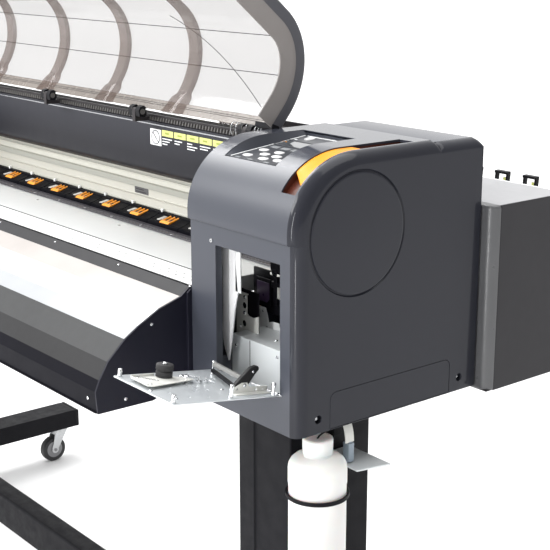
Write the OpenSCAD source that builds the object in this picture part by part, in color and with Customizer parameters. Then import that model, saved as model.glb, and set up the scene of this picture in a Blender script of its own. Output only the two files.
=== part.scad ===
// Wide-format printer cutter on a floor stand, with its hood and its service plate open.
// +Z is up and the operator stands in front, on the -Y side.
// The head parts are drawn in a head frame, whose Y is counted back from the front of
// the right housing and whose Z is counted up from its lower edge.

/* [Machine] */
// Width over the left housing and the ink box
overall_w = 2000; // [1980:1:2040]
// Depth over the stand's feet
foot_depth = 860; // [860:5:1000]
// Height of the head's lower edge above the floor
base_z = 800; // [780:5:900]
// Front face of the housings, behind the machine's middle line
front_y = -225; // [-225:1:-215]

/* [Housings] */
// Width of the right housing
right_w = 269; // [265:1:280]
// Depth of the right housing
head_d = 390; // [388:1:400]
// Height of the right housing
head_h = 425; // [425:1:430]
// Thickness of the moulded covers
wall = 3; // [2:0.5:3]
// Depth of the rounded side covers
side_w = 20; // [18:1:24]
// Width of the service opening in the front
opening_w = 160; // [150:1:165]

/* [Media feed] */
// Width between the housings
span_w = 1456; // [1450:1:1470]
// Spacing of the pinch roller units
pitch = 107; // [100:1:108]
// Number of pinch roller units
units = 13; // [10:1:13]
// Radius of the grit rollers on the drive shaft
grit_r = 11.7; // [10:0.1:11.7]
// Radius of the pinch rollers
pinch_r = 9; // [8:0.1:9]
// Angle that the loading lever lifts the pinch arms
lift_angle = 8; // [4:1:8]

/* [Service plate] */
// Length of the fold-down plate
plate_l = 198; // [190:1:200]
// Angle above level at which the open plate rests
plate_tilt = 9.3; // [8:0.1:10]

/* [Hood] */
// Angle between the closed and the open hood
hood_open = 130; // [120:1:132]

/* [Stand] */
// Radius of the caster wheels
wheel_r = 38; // [30:1:40]
// Distance of each wheel's axle from its swivel axis
caster_trail = 25; // [20:1:30]

/* [Hidden] */
$fn = 48;

eps = 0.01;            // overlap of a cutter past the face it opens
run = 0.06;            // radial clearance of a shaft running in a hole
gap = 0.4;             // clearance between faces that pass each other

// Stations along X
ink_proud = 25;
right_x = overall_w / 2 - ink_proud;
left_x = -overall_w / 2;
span_x1 = right_x - right_w;
span_x0 = span_x1 - span_w;
frame_t = 4;
frame_x0 = left_x + side_w + wall + 1;
frame_x1 = right_x - side_w - wall - 1;

// Curve of the upper covers and the hood: a quarter ellipse over the front edge
curve_cy = 124;
curve_ry = 130;
curve_rz = 113;
curve_cz = head_h - curve_rz;
seam_z = 297;
notch_y = 287;

// Levels in the head frame
platen_z = 184;
strip_y = 65;
feed_y0 = 194;
feed_y1 = 237;
shaft_y = 215;
shaft_z = platen_z - grit_r - 0.3;
pinch_z = platen_z + pinch_r + 0.2;
pivot_y = 228;
pivot_z = 206;
pivot_r = 3;
rail_z0 = 200;
rail_z1 = 281;
beam_y1 = 335;
cover_top = 394;
chassis_y0 = 130;
chassis_z1 = 48;

// Service opening and plate
open_x0 = right_x - 203;
open_x1 = open_x0 + opening_w;
open_z0 = 57;
open_z1 = 265;
hinge_y = 1;
hinge_z = 61;
hinge_r = 3;
hinge_pin_r = 1.5;
plate_t = 2;
knob_x = open_x0 + 42;
knob_b = 134;
knob_pin_r = 2.5;
knob_z0 = 8;
knob_z1 = 24;
pad_pin_z = 12;
pad_pin_r = 1.5;
pad_x0 = open_x1 - 33;
pad_b = 52;

// Control panel, which slopes gently back inside its recess
panel_x0 = right_x - 231;
panel_x1 = right_x - 104;
panel_y0 = 41;
panel_y1 = 203;
panel_z0 = 400;
panel_z1 = 418;
panel_tilt = atan((panel_z1 - panel_z0) / (panel_y1 - panel_y0));
fascia_t = 3;
key_proud = 1;
key_depth = 2;
key_l = 20;
key_w = 12;
key_places = [[-196, 60], [-199, 95], [-174, 77], [-153, 57], [-161, 95], [-144, 76], [-122, 61]];
button_place = [-191, 183];
button_r = 9;

// Hood: hinge line, thickness and depth of its end caps
hood_y = 170;
hood_z = 415;
hood_t = 3;
cap_w = 30;
cap_band = 50;
hood_pin_r = 3;
ear_pitch = 343;
hood_x0 = span_x0 + 2;
hood_x1 = span_x1 - 2;

// Stand
leg_w = 132;
leg_d = 175;
leg_y0 = -175;
leg_x_right = right_x - 213;
leg_x_left = -941;
foot_w = 84;
foot_z0 = 108;
foot_z1 = 160;
stem_r = 8;
stem_y = foot_depth / 2 - 45;
caster_plate = 6;
wheel_w = 26;
axle_r = 5;
caster_x = [leg_x_left + leg_w / 2, leg_x_right + leg_w / 2];

// Ink box and cartridges
ink_x0 = 700;
ink_x1 = right_x + ink_proud;
ink_y1 = 584;
ink_z0 = -5;
ink_z1 = 312;
cart_w = 40;
cart_h = 110;
cart_l = 200;
cart_z = 188;
cart_out = 48;
cart_pitch = 66;
cart_x0 = 742;

// Media roll
roll_y = 455;
roll_z = -60;
roll_r = 12;
roll_x0 = -745;
roll_x1 = 690;

// ---- helpers -------------------------------------------------------------------------

// Head frame: world X, Y from the front face, Z from the lower edge
module head() translate([0, front_y, base_z]) children();

// A box between two corners
module block(a, b) translate(a) cube(b - a);

// A profile in the YZ plane drawn out along X
module along_x(x0, x1) translate([x0, 0, 0]) rotate([90, 0, 90]) linear_extrude(x1 - x0) children();

// A round bar along X through the point (y, z)
module rod_x(x0, x1, y, z, r) translate([x0, y, z]) rotate([0, 90, 0]) cylinder(h = x1 - x0, r = r);

// A screw hole or pin along Y, starting at y0
module rod_y(x, y0, y1, z, r) translate([x, y0, z]) rotate([-90, 0, 0]) cylinder(h = y1 - y0, r = r);

// Points of the curved front, set in by d
function curve_points(d, n = 20) =
  [for (i = [0:n]) [curve_cy - (curve_ry - d) * cos(90 * i / n), curve_cz + (curve_rz - d) * sin(90 * i / n)]];

// Solid outline under the curve, set in by d, down to z0 and back to y1
module curve_outline(d, z0, y1)
  polygon(concat([[y1, z0], [curve_cy - curve_ry + d, z0]], curve_points(d), [[y1, head_h - d]]));

// Stadium outline with its long side along X
module stadium(l, w, h) {
  for (s = [-1, 1]) translate([s * (l - w) / 2, 0, 0]) cylinder(h = h, r = w / 2);
  translate([-(l - w) / 2, -w / 2, 0]) cube([l - w, w, h]);
}

// ---- stand ---------------------------------------------------------------------------

module stand_side(x) {
  color("#26262b") difference() {
    union() {
      block([x, leg_y0, foot_z1], [x + leg_w, leg_y0 + leg_d, base_z]);
      block([x + (leg_w - foot_w) / 2, -foot_depth / 2, foot_z0], [x + (leg_w + foot_w) / 2, foot_depth / 2, foot_z1]);
    }
    translate([x + wall, leg_y0 + wall, foot_z1 + wall])
      cube([leg_w - 2 * wall, leg_d - 2 * wall, base_z - foot_z1 - 2 * wall]);
    for (s = [-1, 1]) translate([x + leg_w / 2, s * stem_y, foot_z0 - eps])
      cylinder(h = foot_z1 - foot_z0 - wall, r = stem_r + run);
  }
}
module stand_left() stand_side(leg_x_left);
module stand_right() stand_side(leg_x_right);

module cross_beam() {
  beam_y = -120;
  beam_z = 165;
  beam_d = 50;
  beam_h = 80;
  color("#26262b") difference() {
    block([leg_x_left + leg_w, beam_y, beam_z], [leg_x_right, beam_y + beam_d, beam_z + beam_h]);
    block([leg_x_left + leg_w - 1, beam_y + wall, beam_z + wall],
          [leg_x_right + 1, beam_y + beam_d - wall, beam_z + beam_h - wall]);
  }
}

// A caster's fork: stem, round plate, crown and two cheeks around the wheel
module caster_fork(side, end) {
  cheek_t = 3;
  cheek_x = wheel_w / 2 + 1.5;
  crown_z = foot_z0 - 1 - caster_plate;
  color("#8f9398") translate([caster_x[side], end * stem_y, 0]) difference() {
    union() {
      translate([0, 0, crown_z]) cylinder(h = foot_z1 - wall - 2 - crown_z, r = stem_r);
      translate([0, 0, crown_z]) cylinder(h = caster_plate, r = 24);
      for (s = [-1, 1]) along_x(s * cheek_x + (s < 0 ? -cheek_t : 0), s * cheek_x + (s < 0 ? 0 : cheek_t))
        polygon([[-20, crown_z + 1], [20, crown_z + 1],
                 [-end * caster_trail + 12, wheel_r - 12], [-end * caster_trail - 12, wheel_r - 12]]);
    }
    rod_x(-wheel_w, wheel_w, -end * caster_trail, wheel_r, axle_r + run);
  }
}
module caster_fork_fl() caster_fork(0, -1);
module caster_fork_fr() caster_fork(1, -1);
module caster_fork_bl() caster_fork(0, 1);
module caster_fork_br() caster_fork(1, 1);

// A caster's wheel with its axle
module caster_wheel(side, end) {
  axle_l = wheel_w / 2 + 6;
  color("#1b1b1d") translate([caster_x[side], end * (stem_y - caster_trail), 0]) {
    rod_x(-wheel_w / 2, wheel_w / 2, 0, wheel_r, wheel_r);
    rod_x(-axle_l, axle_l, 0, wheel_r, axle_r);
  }
}
module caster_wheel_fl() caster_wheel(0, -1);
module caster_wheel_fr() caster_wheel(1, -1);
module caster_wheel_bl() caster_wheel(0, 1);
module caster_wheel_br() caster_wheel(1, 1);

// ---- frame, platen and apron -----------------------------------------------------------

// Folded base channel with the shaft's bearing posts, the platen posts and the roll's arms
module chassis_beam() {
  sheet = 4;
  post_y0 = 200;
  post_y1 = 230;
  arm_t = 15;
  shaft_posts = [span_x0 - 12, span_x1 + 5];
  color("#33343a") head() difference() {
    union() {
      difference() {
        block([frame_x0, chassis_y0, 0], [frame_x1, beam_y1, chassis_z1]);
        block([frame_x0 + sheet, chassis_y0 + sheet, -1], [frame_x1 - sheet, beam_y1 - sheet, chassis_z1 - sheet]);
      }
      for (x = shaft_posts) block([x, post_y0, chassis_z1 - 1], [x + 7, post_y1, shaft_z + 10]);
      for (i = [0:3]) translate([span_x0 + (i + 0.5) * (span_x1 - span_x0) / 4, 0, 0])
        block([-20, chassis_y0, chassis_z1 - 1], [20, chassis_y0 + 50, 150]);
      for (x = [roll_x0 + 5, roll_x1 - 5 - arm_t]) along_x(x, x + arm_t)
        polygon([[beam_y1 - 1, 4], [beam_y1 - 1, 46], [beam_y1 + 30, 46],
                 [roll_y + 25, roll_z + 25], [roll_y + 25, roll_z - 25], [roll_y - 25, roll_z - 25]]);
    }
    for (x = shaft_posts) rod_x(x - 1, x + 8, shaft_y, shaft_z, 6 + run);
    rod_x(roll_x0, roll_x1, roll_y, roll_z, roll_r + run);
  }
}

module side_frames() {
  color("#3a3b42") head() for (x = [frame_x0, frame_x1 - frame_t]) along_x(x, x + frame_t)
    polygon([[chassis_y0, chassis_z1], [beam_y1, chassis_z1], [beam_y1, rail_z1 + 111], [242, rail_z1 + 111],
             [242, 170], [chassis_y0, 150]]);
}

// Perforated white strip in front of the platen
module platen_front() {
  hole_pitch = (span_x1 - span_x0) / 28;
  color("#f4f4f2") head() difference() {
    block([span_x0 + 1, 0, 160], [span_x1 - 1, strip_y - 1, platen_z]);
    block([span_x0 + wall, 2, 159], [span_x1 - wall, strip_y - 3, platen_z - 2]);
    for (i = [0:27]) translate([span_x0 + (i + 0.5) * hole_pitch, 40, platen_z - 5])
      cylinder(h = 8, r = 1.5);
  }
}

module platen_rear() {
  color("#c9cacb") head() difference() {
    block([span_x0 + 1, strip_y, 150], [span_x1 - 1, feed_y0, platen_z]);
    block([span_x0 + wall, strip_y + 2, 149], [span_x1 - wall, feed_y0 - 2, platen_z - 2]);
  }
}

// Profile of the apron's outer face, from its upper edge to its lower lip
apron_face = [[0, 183], [-18, 169], [-60, 156], [-100, 135], [-126, 118], [-158.5, 87], [-175, 60], [-183, 42], [-180, 5]];
apron_back = [[-76, 4], [-4, 30]];
module front_apron() {
  sheet = 2;
  color("#8e9094") head() along_x(span_x0 + 3, span_x1 - 9) difference() {
    polygon(concat(apron_face, [[-170, 5], [0, 5]]));
    polygon(concat([for (p = apron_face) p + [sheet, -sheet * 1.4]], [[-178, 3], [0.1, 3], [0.1, 180]]));
  }
}

module apron_end_plates() {
  color("#1e1e24") head() for (x = [span_x0 + 1, span_x1 - 9]) along_x(x, x + (x < 0 ? 2 : 4))
    polygon(concat(apron_face, apron_back));
}

// Structural beam with the stepped front face that carries the carriage
module guide_rail() {
  color("#bdbcb2") head() difference() {
    along_x(frame_x0 + frame_t, frame_x1 - frame_t) difference() {
      polygon([[236.5, rail_z0], [236.5, 226], [240, 228], [240, 243], [234, 244], [234, 256], [240, 257],
               [240, 268], [237, 270], [237, rail_z1], [243, rail_z1], [243, 392], [330, 392], [330, rail_z0]]);
      polygon([[247, rail_z0 + 6], [247, 386], [324, 386], [324, rail_z0 + 6]]);
    }
  }
}

// Black cover over the beam, its lower part curving under
module beam_cover() {
  color("#2b2d36") head() along_x(span_x0 + 2, span_x1 - 2) difference() {
    polygon([[237, 282], [222, 286], [212, 296], [207, 310], [205, 330], [205, cover_top], [242, cover_top], [242, 282]]);
    polygon([[240, 285], [224, 289], [215, 298], [210, 311], [208, 330], [208, cover_top - 3], [243, cover_top - 3], [243, 285]]);
  }
}

// Dark channel behind the hood's hinge, with the ears that hold the hinge pins
module top_channel() {
  ear_t = 10;
  color("#3a3538") head() difference() {
    union() {
      along_x(span_x0 + 2, span_x1 - 2) difference() {
        polygon([[200, cover_top], [330, cover_top], [330, cover_top + 14], [200, cover_top + 14]]);
        polygon([[206, cover_top + 4], [322, cover_top + 4], [322, cover_top + 15], [206, cover_top + 15]]);
      }
      for (x = hinge_ears()) along_x(x, x + ear_t)
        polygon([[164.5, cover_top], [164.5, 415], [166, 420], [170, 421.5], [174, 420], [175.5, 415], [177, 403],
                 [206, 400], [206, cover_top]]);
    }
    for (x = hinge_ears()) rod_x(x - 1, x + ear_t + 1, hood_y, hood_z, hood_pin_r + run);
  }
}
function hinge_ears() = concat([for (i = [0:3]) span_x1 - 78 - i * ear_pitch], [span_x0 + 60]);

// ---- media feed ------------------------------------------------------------------------

// Centre of pinch unit i along X, counted from the right housing
function unit_x(i) = span_x1 - (i + 0.5) * pitch;

module grit_shaft() {
  color("#9a9da3") head() {
    rod_x(span_x0 - 14, span_x1 + 14, shaft_y, shaft_z, 6);
    for (i = [0:units - 1]) rod_x(unit_x(i) - 18, unit_x(i) + 18, shaft_y, shaft_z, grit_r);
  }
}

// Two strips with a web between each pair of units, and one at each end
module roller_housings() {
  web = 3;
  web_y0 = 201;
  web_y1 = 233.5;
  seam = 0.05;
  color("#1d1c1f") head() {
    block([span_x0 + 1, 196, 188], [span_x1 - 1, web_y0 - seam, 202]);
    block([span_x0 + 1, web_y1 + seam, 188], [span_x1 - 1, 236.3, 216]);
    for (i = [0:units + 1]) translate([min(max(span_x1 - i * pitch - web / 2, span_x0 + 1), span_x1 - 1 - web), 0, 0])
      difference() {
        along_x(0, web) polygon([[web_y0, 188], [web_y0, 205], [206, 213], [web_y1, 216], [web_y1, 188]]);
        rod_x(-1, web + 1, pivot_y, pivot_z, pivot_r + run);
      }
  }
}

// The pinch arms hang from one shaft, each an orange fork around its roller
module pinch_arms() {
  color("#f48a1a") head() {
    rod_x(span_x0 + 0.5, span_x1 - 0.5, pivot_y, pivot_z, pivot_r);
    for (i = [0:units - 1]) difference() {
      union() {
        for (s = [-1, 1]) translate([unit_x(i) + s * 18 - 1.5, 0, 0]) along_x(0, 3)
          polygon([[210, 188.5], [220, 188.5], [232, 203], [232, 209], [224, 213], [210, 200]]);
        along_x(unit_x(i) - 19, unit_x(i) + 19) polygon([[212, 204], [224, 212], [232, 210], [232, 204]]);
      }
      rod_x(unit_x(i) - 25, unit_x(i) + 25, shaft_y, pinch_z, 2 + run);
    }
  }
}

module pinch_rollers() {
  color("#5a5a5c") head() for (i = [0:units - 1]) {
    rod_x(unit_x(i) - 14, unit_x(i) + 14, shaft_y, pinch_z, pinch_r);
    rod_x(unit_x(i) - 19.5, unit_x(i) + 19.5, shaft_y, pinch_z, 2);
  }
}

// Loading lever through the front of the left housing, on a pin in the cover's bosses
lever_x = -860;
lever_y = 30;
lever_z = 245;
lever_pin_r = 4;
module loading_lever() {
  color("#2a2b30") head() {
    rod_x(lever_x - 20, lever_x + 20, lever_y, lever_z, lever_pin_r);
    along_x(lever_x - 7, lever_x + 7)
      polygon([[lever_y + 8, lever_z - 8], [lever_y + 8, lever_z + 8], [-20, 278], [-48, 292], [-52, 280], [-20, 262]]);
  }
}

// ---- carriage and capping station --------------------------------------------------------

carriage_x = right_x - 125;
tool_dx = -44;
head_dx = 13;
module carriage_frame() {
  pocket_y = 142;
  color("#1c1c20") head() difference() {
    union() {
      block([carriage_x - 60, 105, 205], [carriage_x + 60, 200, 330]);
      block([carriage_x - 60, 199, 220], [carriage_x + 60, 233.2, 278]);
      block([carriage_x - 45, 232, 228.6], [carriage_x + 45, 239.2, 242]);
      block([carriage_x - 45, 232, 258], [carriage_x + 45, 239.2, 267]);
      for (i = [0:6]) block([carriage_x - 20 + i * 10, 101, 225], [carriage_x - 17 + i * 10, 106, 320]);
    }
    block([carriage_x - 27, 112, 204], [carriage_x + 53, 194, 285]);
    block([carriage_x + tool_dx - 14 - gap, 100, 204], [carriage_x + tool_dx + 14 + gap, pocket_y + gap, 331]);
    translate([carriage_x + head_dx, 100, 305]) rotate([-90, 0, 0]) cylinder(h = 110, r = 6);
  }
}

// Two print heads with their nozzle faces down
module print_heads() {
  color("#5c5f66") head() for (s = [-1, 1]) translate([carriage_x + head_dx + s * 19, 0, 0]) difference() {
    block([-17, 114, 190], [17, 192, 284.5]);
    block([-12, 120, 240], [12, 186, 285.5]);
  }
}

// Blade holder that slides down to cut
module tool_holder() {
  color("#3f4046") head() translate([carriage_x + tool_dx, 0, 0]) {
    block([-14, 104, 212], [14, 142, 300]);
    translate([0, 120, 200]) cylinder(h = 100, r = 7);
    translate([0, 120, 192]) cylinder(h = 9, r1 = 1.5, r2 = 5);
  }
}

// Pump box in front, with the capping block and its two caps behind
module cap_station() {
  box_y = 50;
  box_x = right_x - 228;
  box_top = 105;
  seam_x = box_x + 47;
  color("#b9c0c0") head() {
    difference() {
      block([box_x, box_y, 3], [right_x - 42, 120, box_top]);
      block([box_x + wall, box_y + wall, 2], [right_x - 42 - wall, 121, box_top - wall]);
      block([seam_x, box_y - 1, 4], [seam_x + 1.5, box_y + 1, box_top - wall]);
    }
    block([right_x - 180, 128, chassis_z1], [right_x - 60, 228, 150]);
    block([right_x - 180, 119, 60], [right_x - 60, 129, box_top]);
    for (s = [-1, 1]) translate([carriage_x + head_dx + s * 19, 0, 0]) difference() {
      block([-17.5, 128, 149], [17.5, 194, 186]);
      block([-13, 132, 175], [13, 190, 187]);
    }
  }
}

// ---- right housing -----------------------------------------------------------------------

cover_x1 = right_x - side_w;
module right_lower_cover() {
  boss = 8;
  color("#5b6068") head() difference() {
    union() {
      block([span_x1, 0, 0], [cover_x1, wall, seam_z]);
      along_x(span_x1, span_x1 + wall)
        polygon([[1, 50], [head_d - 4, 50], [head_d - 4, 150], [40, 150], [40, seam_z], [1, seam_z]]);
      block([span_x1, 1, 0], [span_x1 + wall, 90, 60]);
      for (x = [open_x0 - boss, open_x1]) block([x, 1, hinge_z - 6], [x + boss, 8, hinge_z + 6]);
      for (x = [open_x0 - wall, open_x1]) block([x, 1, hinge_z + 6], [x + wall, 12, open_z1]);
    }
    block([open_x0, -1, open_z0], [open_x1, 9, open_z1]);
    rod_x(open_x0 - boss + 2, open_x1 + boss - 2, hinge_y, hinge_z, hinge_pin_r + run);
    rod_y(right_x - 214, -1, wall + 1, 270.5, 1.5);
  }
}

// Below the panel's fascia the cover forms a shallow pocket
module panel_slab(x0, x1, y0, y1, drop0, drop1) {
  s = (panel_z1 - panel_z0) / (panel_y1 - panel_y0);
  za = panel_z0 + (y0 - panel_y0) * s;
  zb = panel_z0 + (y1 - panel_y0) * s;
  along_x(x0, x1) polygon([[y0, za + drop0], [y1, zb + drop0], [y1, zb + drop1], [y0, za + drop1]]);
}

module right_upper_cover() {
  slot_x0 = right_x - 53;
  slot_x1 = right_x - 25;
  color("#6a707a") head() difference() {
    union() {
      along_x(span_x1, cover_x1) difference() {
        curve_outline(0, seam_z + 0.5, notch_y);
        curve_outline(wall, seam_z - 1, notch_y + 1);
      }
      along_x(span_x1, span_x1 + wall) difference() {
        curve_outline(1, seam_z + 0.5, notch_y);
        polygon([[44, seam_z - 1], [44, 330], [70, 365], [110, 392], [notch_y + 1, 400], [notch_y + 1, seam_z - 1]]);
      }
      intersection() {
        along_x(panel_x0 - wall, panel_x1 + wall) curve_outline(1, seam_z + 0.5, notch_y);
        panel_slab(panel_x0 - wall, panel_x1 + wall, panel_y0 - wall, panel_y1 + wall, -fascia_t - 2.5, 40);
      }
    }
    panel_slab(panel_x0, panel_x1, panel_y0, panel_y1, -fascia_t, 40);
    block([slot_x0, 16, 360], [slot_x1, 252, head_h + 1]);
  }
}

module panel_fascia() {
  lcd = [[-215, 132], [-140, 160]];
  color("#3c3e44") head() difference() {
    panel_slab(panel_x0 + 0.3, panel_x1 - 0.3, panel_y0 + 0.3, panel_y1 - 0.3, -fascia_t + 0.05, 0);
    for (p = key_places) on_panel(p) translate([0, 0, -fascia_t - 1]) stadium(key_l + gap, key_w + gap, fascia_t + 2);
    on_panel(button_place) translate([0, 0, -fascia_t - 1]) cylinder(h = fascia_t + 2, r = button_r + gap / 2);
    panel_slab(right_x + lcd[0][0], right_x + lcd[1][0], lcd[0][1], lcd[1][1], -0.6, 1);
  }
}

// A place on the panel, given as an offset from the right side and a depth
module on_panel(p)
  translate([right_x + p[0], p[1], panel_z0 + (p[1] - panel_y0) * tan(panel_tilt)]) rotate([panel_tilt, 0, 0]) children();

module panel_key(p) color("#e8e8e6") head() on_panel(p) translate([0, 0, -key_depth])
  stadium(key_l, key_w, key_depth + key_proud);
module key_1() panel_key(key_places[0]);
module key_2() panel_key(key_places[1]);
module key_3() panel_key(key_places[2]);
module key_4() panel_key(key_places[3]);
module key_5() panel_key(key_places[4]);
module key_6() panel_key(key_places[5]);
module key_7() panel_key(key_places[6]);

module power_button() color("#f0f0ee") head() on_panel(button_place) translate([0, 0, -key_depth])
  cylinder(h = key_depth + 1.5 * key_proud, r = button_r);

// Translucent strip under the slot in the curved cover
module amber_window() {
  window_z = 366;
  window_y1 = 256;
  color("#ffc400") head() along_x(right_x - 55, right_x - 23) difference() {
    curve_outline(wall + 0.1, seam_z, window_y1);
    curve_outline(wall + 2.1, seam_z - 1, window_y1 + 1);
    translate([-10, seam_z - 2]) square([window_y1 + 20, window_z - seam_z + 2]);
  }
}

// Side moulding with its deep rounded edge, seen here as a dish of constant wall
module right_side_cover() {
  seat = [64, 4.5, 325, 62];
  screw_y = [40.5, 349];
  color("#4b4c52") head() difference() {
    along_x(cover_x1, right_x) union() {
      curve_outline(0, seam_z + 0.5, notch_y);
      polygon([[0, 0], [0, seam_z + 1], [notch_y - 1, seam_z + 1], [notch_y - 1, head_h], [head_d - 18, head_h - 2],
               [head_d, head_h - 20], [head_d, 0]]);
    }
    along_x(cover_x1 - 1, right_x - wall - 1) difference() {
      union() {
        curve_outline(wall, seam_z, notch_y);
        polygon([[wall, wall], [wall, seam_z + 1], [notch_y - 1, seam_z + 1], [notch_y - 1, head_h - wall],
                 [head_d - 18, head_h - wall - 2], [head_d - wall, head_h - 22], [head_d - wall, wall]]);
      }
      for (y = screw_y) translate([y, 25]) circle(r = 10);
    }
    translate([right_x, 0, 0]) block([-2, seat[0], seat[1]], [1, seat[2], seat[3]]);
    for (y = screw_y) {
      rod_x(right_x - 6, right_x + 1, y, 25, 6.5);
      rod_x(cover_x1 - 1, right_x, y, 25, 2.25);
    }
  }
}

module access_panel() {
  color("#46474d") head() block([right_x - 2, 64.5, 5], [right_x, 324.5, 61.5]);
}

module right_rear_cover() {
  color("#5b6068") head() difference() {
    along_x(span_x1 + 0.5, cover_x1) polygon([[notch_y + 1, head_h - 4], [notch_y + 1, head_h - 10], [head_d - 3, head_h - 10],
      [head_d - 3, 60], [head_d, 60], [head_d, head_h - 4]]);
    for (i = [0:9]) translate([span_x1 + 40, 0, 240 + i * 10]) block([0, head_d - 4, 0], [150, head_d + 1, 4]);
  }
}

// ---- service plate -------------------------------------------------------------------------

// Plate frame: X along the hinge, -Y out along the plate, Z off its upper face
module plate_frame() head() translate([0, hinge_y, hinge_z]) rotate([-plate_tilt, 0, 0]) children();

module service_plate() {
  side_gap = 1;
  color("#c9cdd0") plate_frame() difference() {
    union() {
      block([open_x0 + side_gap, -plate_l, -plate_t], [open_x1 - side_gap, -2, 0]);
      rod_x(open_x0 + side_gap, open_x1 - side_gap, 0, 0, hinge_r);
      rod_x(open_x0 - 5, open_x1 + 5, 0, 0, hinge_pin_r);
      translate([knob_x, -knob_b, -1]) cylinder(h = knob_z1 + 5, r = knob_pin_r);
      difference() {
        block([pad_x0 + 6, -pad_b - 20, -1], [pad_x0 + 8, -pad_b + 46, 16]);
        block([pad_x0 + 5, -pad_b + 10, 3], [pad_x0 + 9, -pad_b + 47, 17]);
      }
    }
    rod_x(pad_x0 + 5, pad_x0 + 9, -pad_b, pad_pin_z, pad_pin_r + run);
  }
}

module plate_posts() {
  post_r = 3.5;
  posts = [[7, 190, 12], [153, 193, 12], [151, 88, 20], [153, 12, 20], [28, 30, 22]];
  color("#e2e4e6") plate_frame() for (p = posts) translate([open_x0 + p[0], -p[1], 0]) cylinder(h = p[2], r = post_r);
}

// Two stacked knurled discs on the pin
module thumb_knob() {
  color("#3a3a3c") plate_frame() translate([knob_x, -knob_b, 0]) difference() {
    union() {
      translate([0, 0, knob_z0 + 0.3]) cylinder(h = 7.5, r = 13);
      translate([0, 0, knob_z0 + 7]) cylinder(h = 3, r = 11);
      translate([0, 0, knob_z0 + 9]) cylinder(h = knob_z1 - knob_z0 - 9, r = 13.5);
    }
    translate([0, 0, knob_z0 - 1]) cylinder(h = 30, r = knob_pin_r + run);
  }
}

// Light sheet arm that turns on the knob's pin
module swing_arm() {
  color("#dfe0da") plate_frame() translate([knob_x, -knob_b, 0]) difference() {
    union() {
      translate([0, 0, 4]) cylinder(h = 4, r = 11);
      translate([0, 0, 4]) linear_extrude(3) polygon([[-12, -8], [-12, -54], [40, -55], [44, -48], [24, 40], [14, 40], [-6, 10]]);
    }
    translate([0, 0, 3]) cylinder(h = 6, r = knob_pin_r + run);
  }
}

// Black pad on its own pin in the bracket
module pad_lever() {
  color("#222224") plate_frame() {
    rod_x(pad_x0 - 1, pad_x0 + 11, -pad_b, pad_pin_z, pad_pin_r);
    along_x(pad_x0, pad_x0 + 5)
      polygon([[-pad_b - 16, 8], [-pad_b - 6, 6], [-pad_b + 6, 10], [-pad_b + 26, 36], [-pad_b + 22, 43], [-pad_b + 14, 41]]);
  }
}

// ---- hood ----------------------------------------------------------------------------------

// The hood is drawn closed and turned back about its hinge line
module hood_frame() head() translate([0, hood_y, hood_z]) rotate([-hood_open, 0, 0]) translate([0, -hood_y, -hood_z]) children();

hood_low = 205;
module hood_profile(d) polygon(concat([[hood_y - 8, hood_z + 10 - d], [hood_y - 8, hood_low - (d > 0 ? 1 : 0)],
  [curve_cy - curve_ry + d, hood_low - (d > 0 ? 1 : 0)]], curve_points(d)));
module hood_shell() {
  knuckle = 9;
  color("#6d6663", 0.5) hood_frame() {
    along_x(hood_x0 + cap_w, hood_x1 - cap_w) difference() {
      hood_profile(0);
      hood_profile(hood_t);
      translate([hood_y - 8 - hood_t, hood_low - 2]) square([20, hood_z - hood_low - 6]);
    }
    for (x = hinge_ears()) {
      rod_x(x - 8, x + 18, hood_y, hood_z, hood_pin_r);
      for (dx = [-8, 10 + gap]) along_x(x + dx, x + dx + 8 - gap)
        polygon([[hood_y - 10, hood_z + 3], [hood_y - 10, hood_z + 10], [hood_y, hood_z + 4], [hood_y + 3, hood_z],
                 [hood_y, hood_z - 4], [hood_y - knuckle, hood_z + 1]]);
    }
  }
}

// Translucent grey end caps, each a curved band with a side plate
module hood_end_caps() {
  color("#77777b", 0.7) hood_frame() for (s = [0, 1]) {
    x0 = s == 0 ? hood_x0 : hood_x1 - cap_w;
    along_x(x0, x0 + cap_w) difference() {
      hood_profile(0);
      hood_profile(hood_t);
      translate([hood_y - 8 - hood_t, hood_low - 2]) square([20, hood_z - hood_low - 6]);
    }
    along_x(s == 0 ? hood_x0 : hood_x1 - hood_t, s == 0 ? hood_x0 + hood_t : hood_x1) difference() {
      hood_profile(0.5);
      curve_outline(cap_band, hood_low - 2, hood_y + 20);
    }
  }
}

// ---- left housing ---------------------------------------------------------------------------

left_cover_x0 = left_x + side_w;
module left_cover() {
  boss_t = 6;
  color("#636871") head() difference() {
    union() {
      along_x(left_cover_x0, span_x0) difference() {
        union() {
          curve_outline(0, seam_z, notch_y);
          polygon([[0, 0], [0, seam_z + 1], [head_d, seam_z + 1], [head_d, 0]]);
          polygon([[notch_y - 1, seam_z], [notch_y - 1, head_h], [head_d, head_h], [head_d, seam_z]]);
        }
        union() {
          curve_outline(wall, seam_z - 1, notch_y);
          polygon([[wall, -1], [wall, seam_z + 1], [head_d - wall, seam_z + 1], [head_d - wall, -1]]);
          polygon([[notch_y - 1, seam_z], [notch_y - 1, head_h - wall], [head_d - wall, head_h - wall], [head_d - wall, seam_z]]);
        }
      }
      along_x(span_x0 - wall, span_x0)
        polygon([[1, 50], [head_d - 1, 50], [head_d - 1, 150], [40, 150], [40, 330], [70, 365], [110, 392], [head_d - 1, 400],
                 [head_d - 1, head_h - 1], [curve_cy, head_h - 1], [80, 415], [30, 388], [2, 340], [1, 300]]);
      block([span_x0 - wall, 1, 0], [span_x0, 90, 60]);
      for (s = [-1, 1]) translate([lever_x + s * 14 - boss_t / 2, 0, 0])
        block([0, 1, lever_z - 10], [boss_t, lever_y + 10, lever_z + 10]);
    }
    block([lever_x - 9, -1, 190], [lever_x + 9, wall + 1, 296]);
    rod_x(lever_x - 21, lever_x + 21, lever_y, lever_z, lever_pin_r + run);
  }
}

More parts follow.
